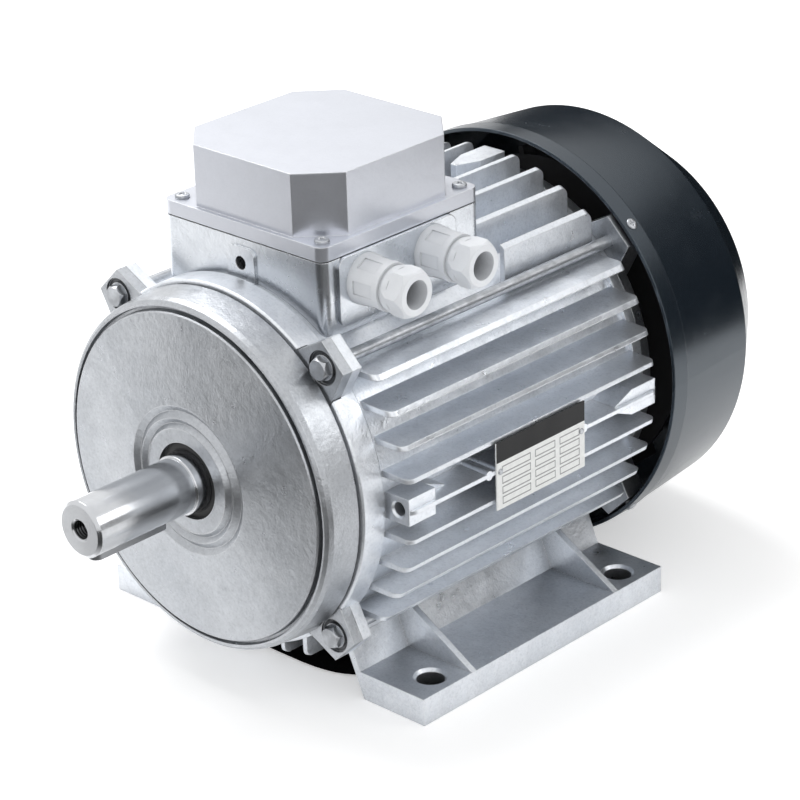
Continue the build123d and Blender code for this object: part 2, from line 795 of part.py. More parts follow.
def prism_blade():
    """One fan blade, drawn about the axis height."""
    outline = Polyline(
        (fan_hub_radius - 2, fan_y0 + 4, -fan_blade_thickness / 2),
        (fan_radius - 12, fan_y0 + 9.5, -fan_blade_thickness / 2),
        (fan_radius, fan_y0 + 9.5, -fan_blade_thickness / 2),
        (fan_radius, fan_y0 + fan_blade_height, -fan_blade_thickness / 2),
        (fan_radius - 18, fan_y0 + fan_blade_height + 4, -fan_blade_thickness / 2),
        (fan_hub_radius - 2, fan_y1 - 3, -fan_blade_thickness / 2),
        close=True)
    return extrude(make_face(outline), amount=fan_blade_thickness, dir=(0, 0, 1))


def fan_circlip():
    """Open spring ring that holds the fan on the shaft."""
    ring = turned([
        (rear_shaft_radius - 1, clip_y0), (rear_shaft_radius + 2.6, clip_y0),
        (rear_shaft_radius + 2.6, clip_y0 + clip_thickness),
        (rear_shaft_radius - 1, clip_y0 + clip_thickness),
    ])
    return ring - block(-3, 3, clip_y0 - 1, clip_y0 + 3, axis_z - 20, axis_z)


# Fan cowl with its rear grille

def fan_cowl():
    """Tapered shell with a flared band, a sloping rear and a slotted grille."""
    t = cowl_thickness
    band_y = cowl_front_y + cowl_band_length
    shoulder_y2 = cowl_front_y + cowl_straight_length
    slope = math.atan2(cowl_shoulder_radius - cowl_rear_radius, cowl_taper_length)
    inset = t * math.tan(slope / 2)
    rear_inset = t * math.tan((math.pi / 2 - slope) / 2)
    body = turned([
        (0, cowl_rear_y), (cowl_rear_radius, cowl_rear_y),
        (cowl_shoulder_radius, shoulder_y2),
        (cowl_mouth_radius - cowl_step, band_y + cowl_step), (cowl_mouth_radius, band_y),
        (cowl_mouth_radius, cowl_front_y), (cowl_mouth_radius - t, cowl_front_y),
        (cowl_mouth_radius - t, band_y), (cowl_mouth_radius - cowl_step - t, band_y + cowl_step),
        (cowl_shoulder_radius - t, shoulder_y2 - inset),
        (cowl_rear_radius - rear_inset, cowl_rear_y - t), (0, cowl_rear_y - t),
    ])
    pitch = (cowl_rear_radius - 4 - grille_inner_radius) / grille_ring_count
    slots = []
    for i in range(grille_ring_count):
        inner = grille_inner_radius + i * pitch
        slots.append(turned([
            (inner, cowl_rear_y - 3 * t), (inner + grille_slot_width, cowl_rear_y - 3 * t),
            (inner + grille_slot_width, cowl_rear_y + 1), (inner, cowl_rear_y + 1),
        ]))
    spoke = Pos(0, 0, axis_z) * block(
        0, cowl_rear_radius, cowl_rear_y - 4 * t, cowl_rear_y + 2,
        -grille_rib_width / 2, grille_rib_width / 2)
    spokes = [pointing(spoke, i * 360 / grille_sector_count) for i in range(grille_sector_count)]
    body -= (Part() + slots) - (Part() + spokes)
    hole = rod_x(cowl_screw_diameter / 2 + 0.3, cowl_mouth_radius - 5, cowl_mouth_radius + 1,
                 cowl_screw_y, axis_z)
    body -= at_ears(hole)
    return body


def cowl_screws():
    """Pan-head screws that hold the cowl to the rear ears."""
    shank = rod_x(cowl_screw_diameter / 2, cowl_screw_inner, cowl_mouth_radius, cowl_screw_y, axis_z)
    head = rod_x(cowl_screw_head_radius, cowl_mouth_radius, cowl_mouth_radius + cowl_screw_head_height,
                 cowl_screw_y, axis_z)
    rim = head.edges().filter_by(GeomType.CIRCLE).sort_by(Axis.X)[-1]
    head = fillet(rim, cowl_screw_head_height / 2)
    return Part() + at_ears(shank + head)


# Feet

def foot():
    """Right-hand foot: plate, leaning wall, seat flange and two gussets."""
    plate_inner = foot_outer_x - foot_plate_width
    lean = math.tan(math.radians(foot_wall_angle))
    flange_low = foot_seat_height - foot_flange_thickness
    y0 = -foot_length / 2
    y1 = foot_length / 2
    body = prism_y([
        (plate_inner, 0), (foot_outer_x, 0), (foot_outer_x, foot_plate_thickness),
        (foot_wall_x(foot_plate_thickness), foot_plate_thickness),
        (foot_wall_x(foot_seat_height), foot_seat_height), (foot_flange_inner, foot_seat_height),
        (foot_flange_inner, flange_low), (plate_inner - lean * flange_low, flange_low),
    ], y0, y1)
    rise = math.tan(math.radians(gusset_angle))
    top_x = 56.0
    for y in (-gusset_offset, gusset_offset):
        body += prism_y([
            (foot_outer_x, foot_plate_thickness - 1), (foot_outer_x, foot_plate_thickness),
            (top_x, foot_plate_thickness + rise * (foot_outer_x - top_x)),
            (foot_wall_x(foot_seat_height + 12) + casting_gap, foot_seat_height + 12),
            (foot_wall_x(foot_seat_height) + casting_gap, foot_seat_height),
            (foot_wall_x(foot_seat_height) - 1, foot_seat_height - 1),
            (foot_wall_x(foot_plate_thickness) - 1, foot_plate_thickness - 1),
        ], y - gusset_thickness / 2, y + gusset_thickness / 2)
    body -= rod(barrel_radius + casting_gap, y0 - 1, y1 + 1)
    body -= rod(ring_radius + casting_gap, fin_rear_y - casting_gap, fin_rear_y + 20)
    for y in (-foot_hole_spacing_y / 2, foot_hole_spacing_y / 2):
        x = foot_hole_spacing_x / 2
        body -= rod_z(foot_hole_diameter / 2, -1, foot_plate_thickness + 1, x, y)
        body -= Pos(x, y, foot_plate_thickness) * Cone(
            foot_hole_diameter / 2, foot_hole_diameter / 2 + 1.5, 1.5,
            align=(Align.CENTER, Align.CENTER, Align.MAX))
    for x, y in foot_screw_places:
        if x > 0:
            body -= rod_z(foot_screw_diameter / 2 + screw_clearance, flange_low - 1,
                          foot_seat_height + 1, x, y)
    return body


def foot_screws():
    """Socket-head screws from below through the foot flanges."""
    flange_low = foot_seat_height - foot_flange_thickness
    screws = []
    for x, y in foot_screw_places:
        head = rod_z(6.5, flange_low - 8, flange_low, x, y)
        socket = Pos(x, y, flange_low - 8) * hexagon_bar(6.0, 4.0)
        screws.append(head - socket + rod_z(foot_screw_diameter / 2, flange_low, foot_screw_top - 1, x, y))
    return Part() + screws


# Terminal box, gasket and lid

lid_screw_places = [
    (sx * (box_half - lid_screw_inset), box_centre_y + sy * (box_length / 2 - lid_screw_inset))
    for sx in (-1, 1) for sy in (-1, 1)
]
gland_ys = (gland_centre_y - gland_spacing / 2, gland_centre_y + gland_spacing / 2)
wall_face_x = box_half
pad_face_x = box_half + gland_pad_thickness


def terminal_box():
    """Saddle-bottomed box with a gland pad, corner posts and an earth boss."""
    low = axis_z + 50.0
    outer = Pos(0, box_centre_y, low) * rounded_plate(
        box_width, box_length, box_corner_radius, box_joint_height - low)
    inner = Pos(0, box_centre_y, low) * rounded_plate(
        box_width - 2 * box_wall, box_length - 2 * box_wall, box_corner_radius - 2, 200)
    shell = outer - inner
    for x, y in lid_screw_places:
        post = block(x - 5.5, x + 5.5, y - 5.5, y + 5.5, low, box_joint_height)
        shell += post & outer
    floor = (outer & rod(barrel_radius + box_floor, box_front_y, box_rear_y)) + Part()
    body = shell + floor
    pad = Pos(wall_face_x, gland_centre_y, gland_centre_height - 3) * Rot(Y=90) * rounded_plate(
        34.0, gland_spacing + 34.0, 5.0, gland_pad_thickness)
    body += pad
    body += Pos(0, box_front_y + 1, axis_z + tie_bolt_circle - 6) * Rot(X=90) * rounded_plate(
        2 * earth_pad_half_width, 28.0, 4.0, 2.2)
    body += block(-7, 7, box_front_y, box_front_y + boss_hole_depth + 2, axis_z + 80,
                  axis_z + tie_bolt_circle + 6) - block(-8, 8, passage_y0, passage_y1, 0, axis_z + 89)
    saddle = turned([
        (0, box_front_y - 5), (barrel_radius, box_front_y - 5),
        (barrel_radius, box_rear_y + 5), (0, box_rear_y + 5),
    ])
    body -= saddle
    body -= block(-15, 15, passage_y0, passage_y1, axis_z, axis_z + barrel_radius + box_floor + 1)
    radius = boss_thread_diameter * 0.85 / 2
    body -= rod(radius, box_front_y - 2, box_front_y + boss_hole_depth - 2, z=axis_z + tie_bolt_circle)
    for y in gland_ys:
        body -= rod_x(gland_thread_radius, box_half - 10, pad_face_x + 1, y, gland_centre_height)
    for x, y in lid_screw_places:
        body -= rod_z(lid_screw_diameter / 2, box_joint_height - 14, box_joint_height + 1, x, y)
    return body


def lid_gasket():
    """Flat rubber frame between the box and the lid."""
    ring = Pos(0, box_centre_y, box_joint_height) * rounded_plate(
        box_width - 2 * gasket_inset, box_length - 2 * gasket_inset, box_corner_radius,
        gasket_thickness)
    hole = Pos(0, box_centre_y, box_joint_height - 1) * rounded_plate(
        box_width - 2 * box_wall, box_length - 2 * box_wall, box_corner_radius - 2, gasket_thickness + 2)
    ring -= hole
    for x, y in lid_screw_places:
        tab = rod_z(5.0, box_joint_height, box_joint_height + gasket_thickness, x, y)
        ring += tab
    for x, y in lid_screw_places:
        ring -= rod_z(lid_screw_diameter / 2 + 0.4, box_joint_height - 1,
                      box_joint_height + gasket_thickness + 1, x, y)
    return ring


def octagon(width, length, cut, height):
    """Octagonal block made from a rectangle with its corners cut off."""
    w = width / 2
    h = length / 2
    outline = Polyline(
        (-w, -h + cut), (-w + cut, -h), (w - cut, -h), (w, -h + cut),
        (w, h - cut), (w - cut, h), (-w + cut, h), (-w, h - cut), close=True)
    return extrude(make_face(outline), amount=height)


lid_low = box_joint_height + gasket_thickness


def terminal_box_lid():
    """Square flange with a raised hollow octagon."""
    flange = rounded_plate(box_width, box_length, box_corner_radius, lid_flange_thickness)
    rise = lid_flange_thickness + lid_height
    body = flange + octagon(lid_octagon_width, lid_octagon_length, lid_chamfer, rise)
    body -= octagon(lid_octagon_width - 2 * lid_wall, lid_octagon_length - 2 * lid_wall, lid_chamfer,
                    rise - lid_wall)
    body = Pos(0, box_centre_y, lid_low) * body
    for x, y in lid_screw_places:
        body -= rod_z(lid_screw_diameter / 2 + 0.4, lid_low - 1, lid_low + lid_flange_thickness + 1, x, y)
    return body


def lid_screws():
    """Pan-head screws at the corners of the lid."""
    top = lid_low + lid_flange_thickness
    screws = []
    for x, y in lid_screw_places:
        head = rod_z(lid_screw_head_radius, top, top + lid_screw_head_height, x, y)
        rim = head.edges().filter_by(GeomType.CIRCLE).sort_by(Axis.Z)[-1]
        head = fillet(rim, lid_screw_head_height / 2)
        screws.append(head + rod_z(lid_screw_diameter / 2, box_joint_height - 13, top, x, y))
    return Part() + screws


# Terminal board inside the box

board_z0 = axis_z + barrel_radius + box_floor
board_thickness = 9.0
board_x = -10.0
stud_pitch_x = 20.0
stud_pitch_y = 17.0
stud_places = [
    (board_x + i * stud_pitch_x / 2, box_centre_y + j * stud_pitch_y)
    for i in (-1, 1) for j in (-1, 0, 1)
]
board_top = board_z0 + board_thickness


def terminal_board():
    """Moulded block with ridges between its six studs."""
    body = block(board_x - 19, board_x + 19, box_centre_y - 29, box_centre_y + 29, board_z0, board_top)
    for y in (box_centre_y - 8.5, box_centre_y + 8.5):
        body += block(board_x - 19, board_x + 19, y - 0.8, y + 0.8, board_top - 1, board_top + 4)
    return body


def terminal_studs():
    """Six brass studs."""
    return Part() + [rod_z(2.5, board_top, board_top + 16, x, y) for x, y in stud_places]


def terminal_links():
    """Three flat links that join the studs in pairs."""
    links = []
    for j in (-1, 0, 1):
        y = box_centre_y + j * stud_pitch_y
        bar = block(board_x - 15, board_x + 15, y - 4, y + 4, board_top, board_top + 1.2)
        for i in (-1, 1):
            bar -= rod_z(2.5, board_top - 1, board_top + 3, board_x + i * stud_pitch_x / 2, y)
        links.append(bar)
    return Part() + links


def terminal_nuts():
    """One hexagon nut on each stud."""
    nuts = []
    for x, y in stud_places:
        nut = Pos(x, y, board_top + 1.2) * hexagon_bar(8.0, 4.0)
        nuts.append(nut - rod_z(2.5, board_top, board_top + 7, x, y))
    return Part() + nuts


# Cable glands

cap_x0 = pad_face_x + gland_body_length + gland_groove_width
cap_x1 = cap_x0 + gland_cap_length
groove_radius = gland_body_radius - 2.2


def gland_body(y):
    """Gland body: thread through the wall, tapered collar with grip flats."""
    z = gland_centre_height
    thread = rod_x(gland_thread_radius, box_half - box_wall - 6, pad_face_x, y, z)
    collar = Pos(pad_face_x, y, z) * Rot(Y=90) * Cone(
        gland_body_radius, gland_body_radius - 0.8, gland_body_length,
        align=(Align.CENTER, Align.CENTER, Align.MIN))
    neck = rod_x(groove_radius, pad_face_x + gland_body_length, cap_x0, y, z)
    body = thread + collar + neck
    for i in range(6):
        flat = block(pad_face_x + 3.5, pad_face_x + 3.5 + gland_flat_length,
                     -gland_flat_width / 2, gland_flat_width / 2,
                     gland_body_radius - 0.4 - gland_flat_depth, gland_body_radius + 2)
        flat = flat.rotate(Axis((0, 0, 0), (1, 0, 0)), i * 60 + 30)
        body -= Pos(0, y, z) * flat
    return body - rod_x(gland_body_bore / 2, box_half - box_wall - 8, cap_x0 + 1, y, z)


def gland_cap(y):
    """Dome nut: round collar that turns into a chamfered hexagon."""
    z = gland_centre_height
    hexagon = hexagon_bar(gland_cap_across_flats, gland_cap_length)
    hexagon = Pos(cap_x0, y, z) * Rot(Y=90) * Rot(Z=30) * hexagon
    turned_outline = make_face(Polyline(
        (cap_x0, y, z), (cap_x0, y + gland_cap_across_flats / 2 + 0.2, z),
        (cap_x0 + 4, y + gland_cap_across_flats / 2 + 1.6, z),
        (cap_x1 - 3, y + gland_cap_across_flats / 2 + 1.6, z),
        (cap_x1, y + gland_cap_across_flats / 2 - 0.6, z), (cap_x1, y, z), close=True))
    envelope = revolve(turned_outline, axis=Axis((0, y, z), (1, 0, 0)), revolution_arc=360)
    collar = rod_x(gland_cap_across_flats / 2 + 0.3, cap_x0, cap_x0 + 3.5, y, z)
    body = (hexagon & envelope) + collar
    return body - rod_x(gland_bore / 2, cap_x0 - 1, cap_x1 + 1, y, z)


def gland_locknut(y):
    """Hexagon nut inside the box."""
    z = gland_centre_height
    x1 = box_half - box_wall
    nut = Pos(x1 - 4, y, z) * Rot(Y=90) * hexagon_bar(23.5, 4.0)
    return nut - rod_x(gland_thread_radius, x1 - 5, x1 + 1, y, z)


# Nameplate

plate_x0 = fin_tip_radius


def nameplate():
    """Thin plate that lies on the middle fin."""
    z = axis_z - plate_drop
    y0 = plate_centre_y - plate_length / 2
    sheet = block(plate_x0, plate_x0 + plate_thickness, y0, y0 + plate_length,
                  z - plate_height / 2, z + plate_height / 2)
    for y in rivet_places:
        sheet -= rod_x(rivet_radius, plate_x0 - 1, plate_x0 + plate_thickness + 1, y, axis_z)
    return sheet


def nameplate_rivets():
    """Two small rivets near the ends of the plate."""
    rivets = []
    for y in rivet_places:
        shank = rod_x(rivet_radius, plate_x0 - 7, plate_x0 + plate_thickness, y, axis_z)
        head_x0 = plate_x0 + plate_thickness
        head = rod_x(rivet_head_radius, head_x0, head_x0 + rivet_head_height, y, axis_z)
        rim = head.edges().filter_by(GeomType.CIRCLE).sort_by(Axis.X)[-1]
        rivets.append(shank + fillet(rim, 0.6))
    return Part() + rivets


# Build every piece and write it

os.makedirs("parts", exist_ok=True)
save("frame", frame())
save("drive_end_shield", drive_end_shield())
save("fan_end_shield", fan_end_shield())
save("tie_bolts", tie_bolts())
save("tie_bolt_washers", tie_bolt_washers())
save("stator_core", stator_core())
save("winding_drive_end", winding(core_y0, -1))
save("winding_fan_end", winding(core_y1, 1))
save("bearing_outer_ring_drive_end", bearing_outer_ring(front_bearing_y0))
save("bearing_outer_ring_fan_end", bearing_outer_ring(rear_bearing_y0))
save("bearing_inner_ring_drive_end", bearing_inner_ring(front_bearing_y0))
save("bearing_inner_ring_fan_end", bearing_inner_ring(rear_bearing_y0))
save("ball_set_drive_end", ball_set(front_bearing_y0))
save("ball_set_fan_end", ball_set(rear_bearing_y0))
save("wave_washer", wave_washer())
save("shaft_seal_drive_end", lip_seal(seal_y0, seal_y0 + 5, seal_outer_radius, bearing_bore / 2))
save("shaft_seal_fan_end", lip_seal(rear_wall_y0, rear_wall_y1, rear_seal_radius, rear_shaft_radius))
save("shaft", shaft())
save("shaft_key", shaft_key())
save("rotor_core", rotor_core())
save("rotor_cage", rotor_cage())
save("fan", fan())
save("fan_key", fan_key())
save("fan_circlip", fan_circlip())
save("fan_cowl", fan_cowl())
save("cowl_screws", cowl_screws())
right_foot = foot()
save("foot_right", right_foot)
save("foot_left", mirror(right_foot, about=Plane.YZ))
save("foot_screws", foot_screws())
save("terminal_box", terminal_box())
save("lid_gasket", lid_gasket())
save("terminal_box_lid", terminal_box_lid())
save("lid_screws", lid_screws())
save("terminal_board", terminal_board())
save("terminal_studs", terminal_studs())
save("terminal_links", terminal_links())
save("terminal_nuts", terminal_nuts())
save("gland_body_front", gland_body(gland_ys[0]))
save("gland_body_rear", gland_body(gland_ys[1]))
save("gland_cap_front", gland_cap(gland_ys[0]))
save("gland_cap_rear", gland_cap(gland_ys[1]))
save("gland_locknuts", Part() + [gland_locknut(y) for y in gland_ys])
save("nameplate", nameplate())
save("nameplate_rivets", nameplate_rivets())
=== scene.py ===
import math

import bmesh
import bpy
import numpy as np
from bpy.props import FloatProperty, FloatVectorProperty, PointerProperty
from mathutils import Euler, Matrix, Vector


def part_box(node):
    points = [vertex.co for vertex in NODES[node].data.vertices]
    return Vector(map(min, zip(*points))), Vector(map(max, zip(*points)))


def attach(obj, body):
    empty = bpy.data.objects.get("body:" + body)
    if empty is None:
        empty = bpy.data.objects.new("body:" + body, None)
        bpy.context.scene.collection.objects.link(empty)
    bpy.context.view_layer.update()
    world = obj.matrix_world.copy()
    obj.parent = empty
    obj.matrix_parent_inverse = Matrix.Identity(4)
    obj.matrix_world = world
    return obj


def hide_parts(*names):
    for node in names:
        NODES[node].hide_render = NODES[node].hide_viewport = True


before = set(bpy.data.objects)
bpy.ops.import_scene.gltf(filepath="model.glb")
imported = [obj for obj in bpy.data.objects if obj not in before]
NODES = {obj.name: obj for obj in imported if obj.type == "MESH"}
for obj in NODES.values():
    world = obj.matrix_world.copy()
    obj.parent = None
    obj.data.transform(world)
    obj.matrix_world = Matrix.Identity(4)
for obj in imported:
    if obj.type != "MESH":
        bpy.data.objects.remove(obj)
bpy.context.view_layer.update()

bl_info = {
    "name": "Finned Electric Motor Dressing",
    "version": (1, 0, 0),
    "blender": (4, 5, 0),
    "location": "View3D > Sidebar > Motor",
    "description": "Finishes and fine pieces of a foot-mounted finned electric motor",
    "category": "Object",
}


# Places on the motor that the finishes follow, in metres

AXIS_HEIGHT = 0.112         # shaft axis over the base plane
BOLT_CIRCLE = 0.0976        # radius of the circle that the tie bolts stand on
RECESS_SHADE_INNER = 0.0078        # round a tie bolt's axis, painted shade up to here
RECESS_SHADE_OUTER = 0.0088       # and none from here on
BORE_DEEP = 0.0046          # round the shaft's axis, painted shade in the threaded hole up to here
BORE_MOUTH = 0.0050         # and bare steel from here on
BORE_PITCH = 0.0015         # thread pitch of the shaft's centre hole
BORE_THREAD = 30.0          # height of that thread, in heights of the turning rings
REFLECTION_START = 0.002          # the painted dark reflection on the box's front begins at this X
REFLECTION_FULL = 0.072           # and is full from this X on

# Screws that are worked out here, in metres and degrees

SHANK_RADIUS = 0.002
SCREW_PITCH = 0.0007
THREAD_DEPTH = 0.00035
COWL_SHANK = 0.0082
COWL_TURNS = (45.0, 135.0, 225.0, 315.0)
SEAM = 1e-6                 # points nearer than this are one
SCREW_ROWS = {"turn": 49, "dome": 22, "lip": 6, "shank": 90}

# Radii of softened edges and depths of fine relief, in metres

STEEL_EDGE = 0.0004
PLASTIC_EDGE = 0.0004
PAINT_EDGE = 0.0009
CAST_RELIEF = 0.00012
BOX_RELIEF = 0.00004
LID_RELIEF = 0.00003
TURNED_RELIEF = 0.000012
PLATED_RELIEF = 0.00002
SHEET_RELIEF = 0.00008
WINDING_RELIEF = 0.0001
PAINT_RELIEF = 0.00001
PLASTIC_RELIEF = 0.00002
RUBBER_RELIEF = 0.00003

# Colours of wear and dirt

WORN_CAST = (0.84, 0.85, 0.86)
WORN_ZINC = (0.85, 0.86, 0.87)
WORN_PAINT = (0.12, 0.135, 0.155)
# painted dark reflection on the box's front
PAINTED_REFLECTION_GREY = (0.15, 0.165, 0.19)
# painted shade in the tie bolts' recesses
RECESS_SHADE_TONE = (0.02, 0.021, 0.023)
BORE_SHADE = (0.02, 0.02, 0.021)
CORE_STAIN = (0.16, 0.10, 0.07)
PAINT_DUST = (0.05, 0.057, 0.066)
PAINT_GLINT = (0.76, 0.88, 1.0, 1.0)                         # tint of the paint's reflections
RUBBER_BLOOM = (0.07, 0.07, 0.072)
FAN_BLACK = (0.03, 0.03, 0.032)
PLATE_PALE = ((0.88, 0.89, 0.88), (0.97, 0.98, 0.97))        # and what it is mottled with
PLATE_BAND = (0.012, 0.012, 0.013)
PLATE_INK = (0.10, 0.10, 0.11)
# black of the back card, and of the sheets of painted shadow under the motor
FLAG_AND_SHADOW_BLACK = ((0.004, 0.004, 0.004), (0.010, 0.010, 0.011)) # the two tones of its weave
BLACK = (0.0, 0.0, 0.0)
WHITE = (1.0, 1.0, 1.0, 1.0)

SHEET_LINES = 314.0         # the wave's scale that repeats it every millimetre
SHADER_SAMPLES = 4          # of the rounded edges and the crevices

# The plate's drawing, in shares of its width and height

PLATE_BAND_FOOT = 0.70
PLATE_COLUMNS = ((0.06, 0.38), (0.43, 0.66), (0.71, 0.94))
PLATE_FEET = tuple(0.06 + row * 0.152 for row in range(4))   # lower edges of the boxes
PLATE_BOX_HEIGHT = 0.115
PLATE_LINE_ACROSS = 0.008
PLATE_LINE_UP = 0.016

# The stage, in metres

CAMERA_PLACE = (0.974768, -0.993955, 0.736564)
SENSOR_WIDTH = 36.0         # millimetres
CAMERA_REACH = 50.0
ROOM_LIGHT = 0.60           # the white room's strength as a light
FLOOR_SEEN = 0.40           # the floor's glow as the camera sees it
FLOOR_COLOUR = (0.93, 0.93, 0.93, 1.0)
FLOOR_HALF = 3.0
CARD_CORNER = (-0.10, -0.27)
CARD_ALONG = (-0.82, -0.57)
CARD_ACROSS = (0.57, -0.82)
CARD_SPANS = ((-1.3, 1.3), (0.0, 1.6))
CARD_HEIGHT = 0.001
CARD_FADE = 0.10            # width of the front card's light edge
CARD_GLOW = (0.95, 0.08)    # its glow at that edge and beyond
BACK_CARD_SPANS = ((-0.35, 0.95), (0.03, 0.42))
BACK_CARD_Y = 0.46
# A black sheet of painted shadow under the motor: half widths, spans and height
UNDER_HALF = (0.066, 0.084)
UNDER_SPANS = ((0.05, 1.0), (0.0, 2.0 * math.pi))    # share of its size, and turn
UNDER_HEIGHT = 0.0012
# Black sheets of painted shadow under the holes of the feet
FOOT_SHADOW_X = (0.0735, 0.104)
FOOT_SHADOW_INSET = 0.004
FOOT_SHADOW_HEIGHT = 0.0001
LAMP_TARGET = (0.0, 0.0, 0.12)
LAMPS = {                   # place and width
    "key": ((-0.9, 0.2, 1.6), 1.1),
    "fill": ((1.6, -1.3, 0.9), 1.2),
    "side": ((1.4, 0.9, 1.0), 0.8),
}


# Sizes and colours that a user would change

def colour(label, note, value):
    """A colour property with its default."""
    return FloatVectorProperty(name=label, description=note, subtype="COLOR", size=3,
                               min=0.0, max=1.0, default=value)


def length(label, note, value):
    """A length property in metres."""
    return FloatProperty(name=label, description=note, unit="LENGTH", subtype="DISTANCE",
                         min=0.0, precision=5, default=value)


def share(label, note, value):
    """A property between nothing and all."""
    return FloatProperty(name=label, description=note, subtype="FACTOR", min=0.0, max=1.0,
                         default=value)


def angle(label, note, degrees):
    """An angle property with its default in degrees."""
    return FloatProperty(name=label, description=note, subtype="ANGLE",
                         default=math.radians(degrees))


def power(label, note, value):
    """A lamp's power in watts."""
    return FloatProperty(name=label, description=note, unit="POWER", min=0.0, default=value)


class CastingSettings(bpy.types.PropertyGroup):
    """Looks of the die-cast aluminium pieces"""
    light: colour("Cast colour", "Colour of the clean cast skin", (0.835, 0.865, 0.908))
    dark: colour("Stain colour", "Colour of the greyer patches of the cast skin",
                 (0.715, 0.748, 0.795))
    lid: colour("Lid colour", "Colour of the terminal box lid", (0.67, 0.69, 0.745))
    grain: length("Grain size", "Size of the sand-like grain on the castings", 0.0011)
    edge: length("Edge radius", "Radius of the rounded casting edges", 0.0007)
    roughness: share("Roughness", "Roughness of the cast skin", 0.32)


class SteelSettings(bpy.types.PropertyGroup):
    """Looks of the steel, copper and brass pieces, and the screws' sizes"""
    ground: colour("Ground steel", "Colour of the turned and ground shaft", (0.70, 0.715, 0.74))
    zinc: colour("Zinc", "Colour of the plated fasteners", (0.56, 0.58, 0.61))
    dark: colour("Core steel", "Colour of the laminated cores", (0.20, 0.21, 0.23))
    copper: colour("Copper", "Colour of the varnished copper turns", (0.50, 0.19, 0.07))
    brass: colour("Brass", "Colour of the studs, links and nuts", (0.66, 0.48, 0.20))
    lid_radius: length("Lid screw head", "Radius of the lid screws' heads", 0.0036)
    lid_head: length("Lid screw height", "Height of the lid screws' heads", 0.0022)
    cowl_radius: length("Cowl screw head", "Radius of the cowl screws' heads", 0.0030)
    cowl_head: length("Cowl screw height", "Height of the cowl screws' heads", 0.0016)


class PlasticSettings(bpy.types.PropertyGroup):
    """Looks of the painted, plastic and rubber pieces"""
    cowl: colour("Cowl paint", "Colour of the fan cowl's paint", (0.006, 0.011, 0.017))
    gland: colour("Gland plastic", "Colour of the cable glands", (0.94, 0.965, 1.0))
    rubber: colour("Rubber", "Colour of the seals and the gasket", (0.018, 0.018, 0.019))
    board: colour("Board plastic", "Colour of the terminal board", (0.10, 0.05, 0.03))


class StageSettings(bpy.types.PropertyGroup):
    """Camera and lamps"""
    azimuth: angle("Azimuth", "Direction that the camera looks from", 44.0596)
    elevation: angle("Elevation", "Height angle of the camera", 24.3293)
    roll: angle("Roll", "Turn of the camera about its own axis", -1.904)
    lens: FloatProperty(name="Lens", description="Focal length on a 36 mm sensor, in millimetres",
                        min=1.0, default=137.2987)
    key: power("Key lamp", "Power of the large lamp above", 18.0)
    fill: power("Fill lamp", "Power of the lamp beside the camera", 2.6)
    side: power("Side lamp", "Power of the lamp towards the fan end", 4.0)


# Materials, all worked out from Object coordinates

def shade(base_colour, amount):
    """A colour made darker or lighter by a factor."""
    return tuple(amount * c for c in base_colour)


